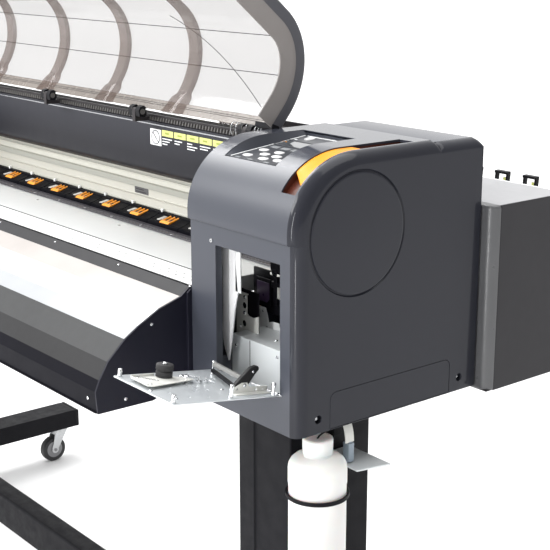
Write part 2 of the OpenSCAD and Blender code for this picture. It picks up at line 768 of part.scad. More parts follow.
module left_side_cover() {
  color("#4b4c52") head() difference() {
    along_x(left_x, left_cover_x0) union() {
      curve_outline(0, seam_z + 0.5, notch_y);
      polygon([[0, 0], [0, seam_z + 1], [notch_y - 1, seam_z + 1], [notch_y - 1, head_h], [head_d - 18, head_h - 2],
               [head_d, head_h - 20], [head_d, 0]]);
    }
    along_x(left_x + wall, left_cover_x0 + 1) union() {
      curve_outline(wall, seam_z, notch_y);
      polygon([[wall, wall], [wall, seam_z + 1], [notch_y - 1, seam_z + 1], [notch_y - 1, head_h - wall],
               [head_d - 18, head_h - wall - 2], [head_d - wall, head_h - 22], [head_d - wall, wall]]);
    }
  }
}

// ---- ink box, cartridges, bottle and roll shaft -----------------------------------------------

module ink_box() {
  color("#55565c") head() difference() {
    block([ink_x0, head_d, ink_z0], [ink_x1, ink_y1, ink_z1]);
    block([ink_x0 + wall, head_d + wall, ink_z0 + wall], [ink_x1 - wall, ink_y1 - wall, cart_z - wall - gap]);
    block([ink_x0 + wall, head_d + wall, cart_z - gap], [ink_x1 - wall, ink_y1 - wall, ink_z1 - wall]);
    for (i = [0:3]) translate([cart_x0 + i * cart_pitch, 0, 0])
      block([-cart_w / 2 - gap, ink_y1 - wall - 1, cart_z - gap], [cart_w / 2 + gap, ink_y1 + 1, cart_z + cart_h + gap]);
  }
}

module ink_cartridge(i) {
  color("#ececea") head() translate([cart_x0 + i * cart_pitch, 0, 0]) {
    y1 = ink_y1 + cart_out;
    block([-cart_w / 2, y1 - cart_l, cart_z], [cart_w / 2, y1 - 4, cart_z + cart_h]);
    block([-cart_w / 2 + 4, y1 - 5, cart_z + 8], [cart_w / 2 - 4, y1, cart_z + cart_h - 8]);
  }
}
module ink_cartridge_1() ink_cartridge(0);
module ink_cartridge_2() ink_cartridge(1);
module ink_cartridge_3() ink_cartridge(2);
module ink_cartridge_4() ink_cartridge(3);

bottle_x = right_x - 30;
bottle_y = 60;
module waste_bottle() {
  bottle_r = 47;
  neck_r = 23;
  cap_r = 26;
  color("#e6e6e2") head() translate([bottle_x, bottle_y, 0]) rotate_extrude()
    polygon([[0, -260], [bottle_r - 6, -260], [bottle_r, -254], [bottle_r, -66], [bottle_r - 4, -55], [bottle_r - 11, -48],
             [neck_r, -46], [neck_r, -44], [cap_r, -44], [cap_r, -22], [cap_r - 3, -19], [0, -19]]);
}

module media_shaft() {
  flange_r = 50;
  flange_t = 8;
  hub_r = 25;
  hub_l = 34;
  color("#a4a7ab") head() {
    rod_x(roll_x0 - 4, roll_x1 + 4, roll_y, roll_z, roll_r);
    for (side = [[roll_x0 + 40, 1], [roll_x1 - 48, -1]]) translate([side[0], 0, 0]) {
      rod_x(0, flange_t, roll_y, roll_z, flange_r);
      translate([side[1] > 0 ? flange_t - 1 : 1 - hub_l, 0, 0]) rod_x(0, hub_l, roll_y, roll_z, hub_r);
    }
  }
}

stand_left();
stand_right();
cross_beam();
caster_fork_fl();
caster_fork_fr();
caster_fork_bl();
caster_fork_br();
caster_wheel_fl();
caster_wheel_fr();
caster_wheel_bl();
caster_wheel_br();
chassis_beam();
side_frames();
platen_front();
platen_rear();
front_apron();
apron_end_plates();
guide_rail();
beam_cover();
top_channel();
grit_shaft();
roller_housings();
pinch_arms();
pinch_rollers();
loading_lever();
carriage_frame();
print_heads();
tool_holder();
cap_station();
right_lower_cover();
right_upper_cover();
right_side_cover();
access_panel();
right_rear_cover();
amber_window();
panel_fascia();
power_button();
key_1();
key_2();
key_3();
key_4();
key_5();
key_6();
key_7();
service_plate();
plate_posts();
thumb_knob();
swing_arm();
pad_lever();
hood_shell();
hood_end_caps();
left_cover();
left_side_cover();
ink_box();
ink_cartridge_1();
ink_cartridge_2();
ink_cartridge_3();
ink_cartridge_4();
waste_bottle();
media_shaft();
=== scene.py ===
import math

import bmesh
import bpy
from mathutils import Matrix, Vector

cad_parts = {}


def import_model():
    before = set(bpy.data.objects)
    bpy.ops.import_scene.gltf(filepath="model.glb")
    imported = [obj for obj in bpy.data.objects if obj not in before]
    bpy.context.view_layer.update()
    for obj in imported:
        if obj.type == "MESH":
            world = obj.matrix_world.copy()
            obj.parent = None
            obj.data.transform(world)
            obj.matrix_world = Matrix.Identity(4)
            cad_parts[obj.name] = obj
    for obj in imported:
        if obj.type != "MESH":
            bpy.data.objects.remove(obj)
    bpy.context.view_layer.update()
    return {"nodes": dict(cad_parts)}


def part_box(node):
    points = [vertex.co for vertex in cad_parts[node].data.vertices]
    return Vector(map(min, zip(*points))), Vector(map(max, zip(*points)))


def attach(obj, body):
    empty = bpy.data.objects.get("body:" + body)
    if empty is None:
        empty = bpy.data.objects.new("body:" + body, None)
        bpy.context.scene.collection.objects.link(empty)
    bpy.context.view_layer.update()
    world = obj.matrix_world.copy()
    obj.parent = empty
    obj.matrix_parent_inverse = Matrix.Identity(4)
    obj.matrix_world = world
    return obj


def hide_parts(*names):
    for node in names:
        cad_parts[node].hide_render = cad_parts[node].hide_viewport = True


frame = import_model()

# ---- the head frame --------------------------------------------------------------------
# Positions are millimetres in the head frame, as in the CAD design: X from the right
# housing's outer side, Y back from the housings' front, Z up from their lower edge.
MM = 0.001
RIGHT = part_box("right_side_cover")[1].x
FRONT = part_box("right_lower_cover")[0].y
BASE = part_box("right_side_cover")[0].z


def world(p):
    return Vector((RIGHT + p[0] * MM, FRONT + p[1] * MM, BASE + p[2] * MM))


def mm_box(node):
    """A CAD node's lowest and highest corners in the head frame, in millimetres."""
    origin = Vector((RIGHT, FRONT, BASE))
    return [(Vector(c) - origin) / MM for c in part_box(node)]


SPAN0, SPAN1 = mm_box("platen_rear")[0].x - 1, mm_box("platen_rear")[1].x + 1
LEFT = mm_box("left_side_cover")[0].x
SIDE_W = -mm_box("right_side_cover")[0].x
HEAD_D = mm_box("right_side_cover")[1].y
HEAD_H = mm_box("right_side_cover")[1].z
SEAM = mm_box("right_lower_cover")[1].z
PLATEN = mm_box("platen_rear")[1].z
NOTCH = mm_box("right_upper_cover")[1].y


# ---- materials -------------------------------------------------------------------------
def shader(name, color, rough=0.5, metal=0.0, **sockets):
    """A material with one Principled shader, and the tools to add nodes to it."""
    mat = bpy.data.materials.new(name)
    mat.use_nodes = True
    bsdf = mat.node_tree.nodes["Principled BSDF"]
    bsdf.inputs["Base Color"].default_value = (*color, 1)
    bsdf.inputs["Roughness"].default_value = rough
    bsdf.inputs["Metallic"].default_value = metal
    for key, value in sockets.items():
        bsdf.inputs[key.replace("_", " ")].default_value = value
    return mat


def noise(mat, scale, detail=3.0, stretch=(1, 1, 1)):
    """Fractal noise in the object's own metres; stretch scales it along each axis."""
    nodes, links = mat.node_tree.nodes, mat.node_tree.links
    coord = nodes.new("ShaderNodeTexCoord")
    mapping = nodes.new("ShaderNodeMapping")
    mapping.inputs["Scale"].default_value = stretch
    tex = nodes.new("ShaderNodeTexNoise")
    tex.inputs["Scale"].default_value = scale
    tex.inputs["Detail"].default_value = detail
    links.new(coord.outputs["Object"], mapping.inputs["Vector"])
    links.new(mapping.outputs["Vector"], tex.inputs["Vector"])
    return tex.outputs["Fac"]


def ramp(mat, source, low, high, start=0.3, end=0.7):
    """Maps a 0..1 value onto low..high; both are numbers, or both are colours."""
    nodes, links = mat.node_tree.nodes, mat.node_tree.links
    node = nodes.new("ShaderNodeMapRange" if isinstance(low, (int, float)) else "ShaderNodeValToRGB")
    if isinstance(low, (int, float)):
        for key, value in (("From Min", start), ("From Max", end), ("To Min", low), ("To Max", high)):
            node.inputs[key].default_value = value
        links.new(source, node.inputs["Value"])
        return node.outputs["Result"]
    node.color_ramp.elements[0].position, node.color_ramp.elements[1].position = start, end
    node.color_ramp.elements[0].color, node.color_ramp.elements[1].color = (*low, 1), (*high, 1)
    links.new(source, node.inputs["Fac"])
    return node.outputs["Color"]


def feed(mat, socket, output):
    mat.node_tree.links.new(output, mat.node_tree.nodes["Principled BSDF"].inputs[socket])


def bump(mat, height, depth, strength=1.0):
    """Bumps the surface; a second call is laid over the first."""
    nodes, links = mat.node_tree.nodes, mat.node_tree.links
    node = nodes.new("ShaderNodeBump")
    node.inputs["Strength"].default_value = strength
    node.inputs["Distance"].default_value = depth
    links.new(height, node.inputs["Height"])
    normal = nodes["Principled BSDF"].inputs["Normal"]
    if normal.links:
        links.new(normal.links[0].from_socket, node.inputs["Normal"])
    links.new(node.outputs["Normal"], normal)


def shade(color, k):
    return tuple(min(1.0, c * k) for c in color)


def surface(name, color, rough, metal=0.0, grain=900.0, depth=0.00002, blotch=0.08, spread=0.08,
            stretch=(1, 1, 1), **sockets):
    """A finished surface: fine grain, slow colour variation and uneven roughness."""
    mat = shader(name, color, rough, metal, **sockets)
    slow = noise(mat, 6.0, 2.0, stretch)
    feed(mat, "Base Color", ramp(mat, slow, shade(color, 1 - blotch), shade(color, 1 + blotch)))
    patch = noise(mat, 45.0, 4.0, stretch)
    feed(mat, "Roughness", ramp(mat, patch, max(0.02, rough - spread), min(1.0, rough + spread)))
    if depth:
        bump(mat, noise(mat, grain, 2.0, stretch), depth)
    return mat


cover_grey = surface("cover_grey", (0.043, 0.047, 0.061), 0.40, grain=1500, depth=0.00002, blotch=0.02,
                     spread=0.03,
                     Specular_IOR_Level=0.42, Coat_Weight=0.05, Coat_Roughness=0.18)
# Darker than cover_grey: partly the side mouldings' own darker paint, partly painted shade on the side that
# faces away from the light.
side_grey = surface("side_grey", (0.019, 0.020, 0.027), 0.42, grain=1500, depth=0.00002, blotch=0.02,
                    spread=0.03,
                    Specular_IOR_Level=0.08, Coat_Weight=0.35, Coat_Roughness=0.10)
stand_black = surface("stand_black", (0.005, 0.005, 0.007), 0.5, grain=2200, depth=0.00006,
                      Specular_IOR_Level=0.12)
chassis_dark = surface("chassis_dark", (0.012, 0.012, 0.015), 0.45, Specular_IOR_Level=0.25)
beam_black = surface("beam_black", (0.044, 0.044, 0.050), 0.36, grain=1800, depth=0.00001, blotch=0.02,
                     spread=0.02, Specular_IOR_Level=0.25)
channel_dark = surface("channel_dark", (0.026, 0.023, 0.025), 0.4, Specular_IOR_Level=0.25)
rail_alu = surface("rail_alu", (0.56, 0.55, 0.49), 0.36, 0.4, grain=500, stretch=(0.02, 1, 1), depth=0.00001,
                   spread=0.03)
rail_shade = surface("rail_shade", (0.34, 0.34, 0.30), 0.4, 0.3, grain=500, stretch=(0.02, 1, 1),
                     depth=0.00001)
platen_grey = surface("platen_grey", (0.66, 0.67, 0.67), 0.34, 0.15, grain=900, spread=0.03, blotch=0.03)
platen_white = surface("platen_white", (0.86, 0.86, 0.86), 0.35, grain=900)
roller_black = surface("roller_black", (0.002, 0.002, 0.004), 0.5, grain=1800, depth=0.00004,
                       Specular_IOR_Level=0.05)
orange = surface("orange", (0.95, 0.35, 0.028), 0.33, grain=1400, depth=0.00002, blotch=0.06)
chrome = surface("chrome", (0.78, 0.79, 0.80), 0.12, 1.0, grain=300, depth=0.000005, spread=0.05)
shaft_steel = surface("shaft_steel", (0.5, 0.51, 0.53), 0.25, 1.0, grain=2500, depth=0.00004)
rubber_dark = surface("rubber_dark", (0.045, 0.044, 0.046), 0.55, grain=2600, depth=0.00008,
                      Specular_IOR_Level=0.3)
tread = surface("tread", (0.02, 0.02, 0.022), 0.55, grain=900, depth=0.0001)
zinc = surface("zinc", (0.55, 0.56, 0.57), 0.3, 1.0, grain=400, depth=0.00002, blotch=0.15)
plate_steel = surface("plate_steel", (0.60, 0.63, 0.65), 0.34, 0.45, grain=600, stretch=(0.15, 1, 1),
                      depth=0.000006)
sheet_light = surface("sheet_light", (0.74, 0.74, 0.70), 0.4, 0.1)
station_grey = surface("station_grey", (0.70, 0.73, 0.74), 0.38, 0.1, grain=1300)
black_plastic = surface("black_plastic", (0.005, 0.005, 0.007), 0.42, grain=1800, depth=0.00004,
                        Specular_IOR_Level=0.15)
black_rubber = surface("black_rubber", (0.010, 0.010, 0.011), 0.5, grain=2200, depth=0.00006,
                       Specular_IOR_Level=0.25)
head_metal = surface("head_metal", (0.3, 0.31, 0.33), 0.35, 0.8)
key_white = surface("key_white", (0.6, 0.6, 0.6), 0.35, grain=2000, spread=0.03)
panel_dark = surface("panel_dark", (0.035, 0.038, 0.046), 0.30, grain=2500, depth=0.000004, blotch=0.03,
                     spread=0.02)
bottle_white = surface("bottle_white", (0.80, 0.80, 0.78), 0.4, Subsurface_Weight=0.2, grain=700)
cartridge_white = surface("cartridge_white", (0.82, 0.82, 0.80), 0.3, grain=1200)
white_paint = surface("white_paint", (0.86, 0.87, 0.87), 0.4, grain=1200)
white_band = surface("white_band", (0.88, 0.88, 0.89), 0.35, grain=1200)
bar_grey = surface("bar_grey", (0.055, 0.052, 0.060), 0.35, spread=0.03, Specular_IOR_Level=0.3)
# Pale grey for the painted highlights on the forks' left edges.
fork_highlight_pale = surface("fork_highlight_pale", (0.55, 0.54, 0.52), 0.35, spread=0.03)
panel_tag = surface("panel_tag", (0.075, 0.075, 0.078), 0.4)
rib_grey = surface("rib_grey", (0.10, 0.096, 0.092), 0.4, spread=0.03, Specular_IOR_Level=0.3)
purple_dark = surface("purple_dark", (0.05, 0.03, 0.07), 0.35)
amber_shade_brown = surface("amber_shade_brown", (0.085, 0.018, 0.008), 0.45, grain=1500)
panel_tile = surface("panel_tile", (0.23, 0.24, 0.25), 0.35, grain=2000)
display_glass = surface("display_glass", (0.06, 0.068, 0.075), 0.06, grain=300, depth=0, spread=0.02,
                        Coat_Weight=1.0)
end_black = surface("end_black", (0.010, 0.010, 0.018), 0.42, grain=2000, depth=0.000005, blotch=0.03,
                    spread=0.02, Specular_IOR_Level=0.2)
# Apron flats: dark and mid are the sheet's dark paint; the warm, white and light tones are painted
# reflections, and the deep tone is painted shade.
apron_dark = surface("apron_dark", (0.024, 0.024, 0.026), 0.45, spread=0.03, Specular_IOR_Level=0.2)
apron_reflection_warm = surface("apron_reflection_warm", (0.44, 0.41, 0.39), 0.34, 0.2, spread=0.03)
apron_reflection_white = surface("apron_reflection_white", (0.80, 0.80, 0.80), 0.35, 0.05, spread=0.03)
apron_reflection_light = surface("apron_reflection_light", (0.34, 0.352, 0.365), 0.36, 0.1, spread=0.03)
apron_mid = surface("apron_mid", (0.036, 0.037, 0.038), 0.45, grain=700, depth=0.00012, spread=0.05,
                    Specular_IOR_Level=0.25)
apron_shade_deep = surface("apron_shade_deep", (0.015, 0.015, 0.016), 0.45, spread=0.03, Specular_IOR_Level=0.2)
apron_lip = surface("apron_lip", (0.005, 0.005, 0.008), 0.5, spread=0.03, Specular_IOR_Level=0.05)
seal_brown = surface("seal_brown", (0.022, 0.014, 0.012), 0.45, spread=0.03)
sticker_yellow = surface("sticker_yellow", (0.60, 0.63, 0.20), 0.4, depth=0.000004, blotch=0.04)
sticker_shade = surface("sticker_shade", (0.28, 0.33, 0.05), 0.4, depth=0.000004)
hood_edge = surface("hood_edge", (0.02, 0.018, 0.018), 0.4, Specular_IOR_Level=0.25)
ink_side = surface("ink_side", (0.021, 0.020, 0.023), 0.45, spread=0.03, Specular_IOR_Level=0.25)
ink_corner = surface("ink_corner", (0.085, 0.086, 0.090), 0.30, grain=1500, spread=0.03)
# The lid's pale grey is a painted reflection on the box's top.
ink_lid_painted_reflection = surface("ink_lid_painted_reflection", (0.335, 0.335, 0.345), 0.4, spread=0.03)
tie_grey = surface("tie_grey", (0.28, 0.28, 0.27), 0.4, grain=1500, spread=0.03)
# A darker copy of cover_grey, painted shade on the recess's sloping left wall.
bank_shaded_grey = surface("bank_shaded_grey", (0.030, 0.033, 0.043), 0.45, grain=1500, spread=0.03,
                    Specular_IOR_Level=0.12)
hub_grey = surface("hub_grey", (0.22, 0.22, 0.23), 0.4, grain=1500)
clip_blue = surface("clip_blue", (0.30, 0.36, 0.42), 0.38, grain=1300)


def fade_up(mat, low, high, z0, z1, socket="Base Color"):
    """Fades a colour or roughness from low to high between two heights of the head frame."""
    nodes, links = mat.node_tree.nodes, mat.node_tree.links
    coord, axes = nodes.new("ShaderNodeTexCoord"), nodes.new("ShaderNodeSeparateXYZ")
    links.new(coord.outputs["Object"], axes.inputs["Vector"])
    height = ramp(mat, axes.outputs["Z"], 0.0, 1.0, BASE + z0 * MM, BASE + z1 * MM)
    feed(mat, socket, ramp(mat, height, low, high, 0.0, 1.0))


fade_up(cover_grey, 0.40, 0.12, 385, 420, "Roughness")
# Painted shade: the beam cover's colour darkens to near black towards its lower curved edge.
fade_up(beam_black, (0.003, 0.003, 0.007), (0.028, 0.029, 0.037), 322, 394)


def clear(name, color, alpha, rough, **sockets):
    """Tinted translucent plastic that also lets shadows through."""
    mat = surface(name, color, rough, grain=1800, depth=0.00001, **sockets)
    mat.node_tree.nodes["Principled BSDF"].inputs["Alpha"].default_value = alpha
    return mat


hood_smoke = clear("hood_smoke", (0.12, 0.105, 0.10), 0.27, 0.08)
hood_rib = clear("hood_rib", (0.10, 0.06, 0.045), 0.5, 0.12)
cap_smoke = clear("cap_smoke", (0.085, 0.088, 0.10), 0.88, 0.35)
cap_light = clear("cap_light", (0.24, 0.22, 0.21), 0.85, 0.45)
cap_dark = clear("cap_dark", (0.070, 0.070, 0.082), 0.9, 0.4)
hood_pale = clear("hood_pale", (0.20, 0.175, 0.155), 0.88, 0.25)
amber = clear("amber", (0.80, 0.27, 0.0), 0.96, 0.42, Specular_IOR_Level=0.2)

CAD_LOOKS = {
    "stand_left": stand_black, "stand_right": stand_black, "cross_beam": stand_black,
    "chassis_beam": chassis_dark, "side_frames": chassis_dark, "platen_front": platen_white,
    "platen_rear": platen_grey, "front_apron": end_black, "apron_end_plates": end_black,
    "guide_rail": rail_alu, "beam_cover": beam_black, "top_channel": channel_dark,
    "grit_shaft": shaft_steel, "roller_housings": roller_black, "pinch_arms": orange,
    "pinch_rollers": rubber_dark, "loading_lever": black_plastic, "carriage_frame": black_plastic,
    "print_heads": head_metal, "tool_holder": head_metal, "cap_station": station_grey,
    "right_lower_cover": cover_grey, "right_upper_cover": cover_grey, "right_side_cover": cover_grey,
    "access_panel": cover_grey, "right_rear_cover": cover_grey, "amber_window": amber,
    "panel_fascia": panel_dark, "power_button": key_white, "service_plate": plate_steel,
    "plate_posts": chrome, "thumb_knob": rubber_dark, "swing_arm": sheet_light, "pad_lever": black_rubber,
    "hood_shell": hood_smoke, "hood_end_caps": cap_smoke, "left_cover": cover_grey,
    "left_side_cover": cover_grey, "ink_box": cover_grey, "waste_bottle": bottle_white,
    "media_shaft": shaft_steel,
}
for name, node in frame["nodes"].items():
    if name.startswith("key_"):
        look = key_white
    elif name.startswith("ink_cartridge"):
        look = cartridge_white
    elif name.startswith("caster_fork"):
        look = zinc
    elif name.startswith("caster_wheel"):
        look = tread
    else:
        look = CAD_LOOKS[name]
    for mat_slot in node.material_slots:
        mat_slot.material = look

# ---- camera, light and floor ---------------------------------------------------------------
cam_data = bpy.data.cameras.new("camera")
cam = bpy.data.objects.new("camera", cam_data)
bpy.context.scene.collection.objects.link(cam)
bpy.context.scene.camera = cam
CAMERA_AT, LENS = (1337.4, -1128.4, 719.2), 82.0
AZIMUTH, ELEVATION = math.radians(50.97), math.radians(14.76)
cam.location = world(CAMERA_AT)
back = Vector((math.sin(AZIMUTH) * math.cos(ELEVATION), -math.cos(AZIMUTH) * math.cos(ELEVATION),
               math.sin(ELEVATION)))
cam.rotation_mode = "QUATERNION"
cam.rotation_quaternion = (-back).to_track_quat("-Z", "Y")
cam_data.sensor_width = 36
cam_data.lens = LENS
cam_data.clip_start, cam_data.clip_end = 0.01, 100

bpy.ops.mesh.primitive_plane_add(size=60, location=(0, 0, 0))
floor = bpy.context.object
floor.name = "floor"
# The floor glows a little away from the machine, so that its far end stays white
GLOW, GLOW_FROM, GLOW_TO = 0.55, 1.5, 4.5
floor_mat = shader("floor_pale", (0.86, 0.86, 0.86), 0.6, Emission_Color=(1, 1, 1, 1))
floor_coord = floor_mat.node_tree.nodes.new("ShaderNodeTexCoord")
floor_reach = floor_mat.node_tree.nodes.new("ShaderNodeVectorMath")
floor_reach.operation = "LENGTH"
floor_mat.node_tree.links.new(floor_coord.outputs["Object"], floor_reach.inputs[0])
feed(floor_mat, "Emission Strength",
     ramp(floor_mat, floor_reach.outputs["Value"], 0.0, GLOW, GLOW_FROM, GLOW_TO))
floor.data.materials.append(floor_mat)

world_data = bpy.data.worlds.new("studio")
bpy.context.scene.world = world_data
world_data.use_nodes = True
sky = world_data.node_tree.nodes["Background"]
sky.inputs["Color"].default_value = (1, 1, 1, 1)
sky_nodes, sky_links = world_data.node_tree.nodes, world_data.node_tree.links
sky_coord = sky_nodes.new("ShaderNodeTexCoord")
sky_axes = sky_nodes.new("ShaderNodeSeparateXYZ")
sky_fade = sky_nodes.new("ShaderNodeMapRange")
# A bright sky on the left that fades to the right, for the dark side of the housing
for key, value in (("From Min", -0.5), ("From Max", 0.9), ("To Min", 1.2), ("To Max", 0.45)):
    sky_fade.inputs[key].default_value = value
sky_links.new(sky_coord.outputs["Generated"], sky_axes.inputs["Vector"])
sky_links.new(sky_axes.outputs["X"], sky_fade.inputs["Value"])
sky_links.new(sky_fade.outputs["Result"], sky.inputs["Strength"])
bpy.context.scene.view_settings.view_transform = "Standard"


def area_light(name, place, target, size, power):
    data = bpy.data.lights.new(name, "AREA")
    data.shape = "RECTANGLE"
    data.size, data.size_y = size
    data.energy = power
    light = bpy.data.objects.new(name, data)
    bpy.context.scene.collection.objects.link(light)
    light.location = place
    light.rotation_mode = "QUATERNION"
    light.rotation_quaternion = (Vector(target) - Vector(place)).to_track_quat("-Z", "Y")
    return light


LIGHTS = [
    ("key", (-1.5, -3.2, 3.2), (0.6, 0, 1.0), (2.4, 1.6), 142),
    ("top", (0.5, 0.6, 3.6), (0.5, 0, 1.0), (4.0, 2.0), 70),
    ("gloss", (-1.55, -0.1, 3.3), (0.85, -0.16, 1.2), (1.8, 1.2), 62),
    ("edge", (1.35, -3.4, 1.1), (0.96, -0.2, 1.05), (0.24, 2.8), 60),
]
for light in LIGHTS:
    area_light(*light)


# ---- mesh building -----------------------------------------------------------------------
class Shape:
    """Solids collected in millimetres, then built as one Blender object."""

    def __init__(self):
        self.verts, self.faces, self.slots = [], [], []

    def add(self, verts, faces, slot=0):
        first = len(self.verts)
        self.verts += [tuple(v) for v in verts]
        self.faces += [[first + i for i in f] for f in faces]
        self.slots += [slot] * len(faces)
        return self

    def loft(self, rings, slot=0, closed=False):
        """Joins rings of equally many points; the ends are capped unless the loft is closed."""
        n = len(rings[0])
        pairs = list(zip(range(len(rings)), list(range(1, len(rings))) + ([0] if closed else [])))
        faces = [[a * n + i, a * n + (i + 1) % n, b * n + (i + 1) % n, b * n + i] for a, b in pairs
                 for i in range(n)]
        if not closed:
            faces += [list(range(n))[::-1], [(len(rings) - 1) * n + i for i in range(n)]]
        return self.add([p for ring in rings for p in ring], faces, slot)

    def extrude(self, outline, axis, a, b, slot=0):
        """A closed outline in the other two axes, in X, Y, Z order, drawn from a to b."""
        def at(k):
            if axis == "x":
                return [(k, u, v) for u, v in outline]
            if axis == "y":
                return [(u, k, v) for u, v in outline]
            return [(u, v, k) for u, v in outline]
        return self.loft([at(a), at(b)], slot)

    def box(self, lo, hi, slot=0):
        return self.extrude([(lo[0], lo[1]), (hi[0], lo[1]), (hi[0], hi[1]), (lo[0], hi[1])], "z", lo[2],
                            hi[2], slot)

    def lathe(self, profile, centre, axis="z", slot=0, segments=48):
        """Turns (radius, height) points about an axis through the centre."""
        rings = []
        for radius, height in profile:
            ring = []
            for a in turns(segments):
                u, v = radius * math.cos(a), radius * math.sin(a)
                local = {"x": (height, u, v), "y": (u, height, v), "z": (u, v, height)}[axis]
                ring.append(tuple(c + d for c, d in zip(centre, local)))
            rings.append(ring)
        return self.loft(rings, slot)

    def tube(self, points, radius, slot=0, sides=10, closed=False):
        """A round wire along points."""
        pts = [Vector(p) for p in points]
        rings, side = [], None
        for i, p in enumerate(pts):
            ahead = pts[(i + 1) % len(pts)] if closed or i + 1 < len(pts) else p
            behind = pts[i - 1] if closed or i else p
            along = (ahead - behind).normalized()
            if side is None:
                side = along.orthogonal().normalized()
            side = (side - along * side.dot(along)).normalized()
            up = along.cross(side)
            rings.append([p + radius * (math.cos(t) * side + math.sin(t) * up)
                          for t in turns(sides)])
        return self.loft(rings, slot, closed)

    def moved(self, place):
        self.verts = [tuple(place(v)) for v in self.verts]
        return self

    def place(self, name):
        """Puts the solids into the scene as one object, with all normals outward."""
        mesh = bpy.data.meshes.new(name)
        mesh.from_pydata([world(v) for v in self.verts], [], self.faces)
        mesh.polygons.foreach_set("material_index", self.slots)
        bm = bmesh.new()
        bm.from_mesh(mesh)
        bmesh.ops.recalc_face_normals(bm, faces=bm.faces)
        bm.to_mesh(mesh)
        bm.free()
        obj = bpy.data.objects.new(name, mesh)
        bpy.context.scene.collection.objects.link(obj)
        return obj

    def build(self, name, mats, body="frame", slot=None, replaces=(), bevel=0.0, segments=3, angle=32):
        """One finished piece on its body; bevel is the width of its rounded edges."""
        obj = self.place(name)
        for mat in mats if isinstance(mats, (list, tuple)) else [mats]:
            obj.data.materials.append(mat)
        smooth(obj, angle)
        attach(obj, body)
        if replaces:
            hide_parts(*([replaces] if isinstance(replaces, str) else replaces))
        if bevel:
            round_edges(obj, bevel, segments)
        return obj


def smooth(obj, angle=32):
    obj.data.shade_smooth()
    obj.data.set_sharp_from_angle(angle=math.radians(angle))


def round_edges(obj, width, segments=3, angle=40):
    """Rounds every edge sharper than the angle; width is in millimetres."""
    mod = obj.modifiers.new("round", "BEVEL")
    mod.width = width * MM
    mod.segments = segments
    mod.limit_method = "ANGLE"
    mod.angle_limit = math.radians(angle)
    mod.harden_normals = True
    mod.use_clamp_overlap = True
    return obj


def bake(obj):
    """Applies an object's modifiers to its mesh."""
    mesh = bpy.data.meshes.new_from_object(obj.evaluated_get(bpy.context.evaluated_depsgraph_get()))
    obj.modifiers.clear()
    obj.data = mesh


def cut(obj, shape, angle=32):
    """Cuts a shape out of an object."""
    cutter = shape.place("cutter")
    mod = obj.modifiers.new("cut", "BOOLEAN")
    mod.object, mod.operation, mod.solver = cutter, "DIFFERENCE", "EXACT"
    mod.use_self = False
    bake(obj)
    bpy.data.objects.remove(cutter)
    smooth(obj, angle)
    return obj


def drill(obj, holes, edge):
    """Cuts holes out of a sheet and rounds its edges."""
    cut(obj, holes)
    round_edges(obj, edge)


def turns(n):
    """The angles of n equal steps of one turn."""
    return [2 * math.pi * k / n for k in range(n)]


def arc(cx, cy, r, a0, a1, n=8, ry=None):
    """Points on an arc, with angles in degrees."""
    span = [math.radians(a0 + (a1 - a0) * i / n) for i in range(n + 1)]
    return [(cx + r * math.cos(a), cy + (ry or r) * math.sin(a)) for a in span]


def rounded(lo, hi, r, n=6):
    """A rectangle with round corners; r is one radius, or one for each corner from the lowest."""
    r = [r] * 4 if isinstance(r, (int, float)) else r
    corners = [(lo[0] + r[0], lo[1] + r[0], r[0], 180), (hi[0] - r[1], lo[1] + r[1], r[1], 270),
               (hi[0] - r[2], hi[1] - r[2], r[2], 0), (lo[0] + r[3], hi[1] - r[3], r[3], 90)]
    return [p for cx, cy, q, a in corners for p in (arc(cx, cy, q, a, a + 90, n) if q else [(cx, cy)])]


# ---- right housing -------------------------------------------------------------------------
# The covers share one outline: a quarter ellipse over the front edge, with its lower lip
# standing proud of the lower cover.
LIP = 6
CURVE_Y, CURVE_RY, CURVE_RZ = 124, 124, 113
CURVE_Z = HEAD_H - CURVE_RZ
FILLET = 20
REAR_DROP = 4


def curve_z(y, lip=LIP):
    """Height of the curved front at a depth."""
    if y >= CURVE_Y:
        return HEAD_H
    s = (CURVE_Y - y) / (CURVE_RY + lip)
    return CURVE_Z + CURVE_RZ * math.sqrt(max(0.0, 1 - s * s))


def curve(lip=LIP, inset=0.0, n=48):
    return [(CURVE_Y - (CURVE_RY + lip - inset) * math.cos(math.pi / 2 * i / n),
             CURVE_Z + (CURVE_RZ - inset) * math.sin(math.pi / 2 * i / n)) for i in range(n + 1)]


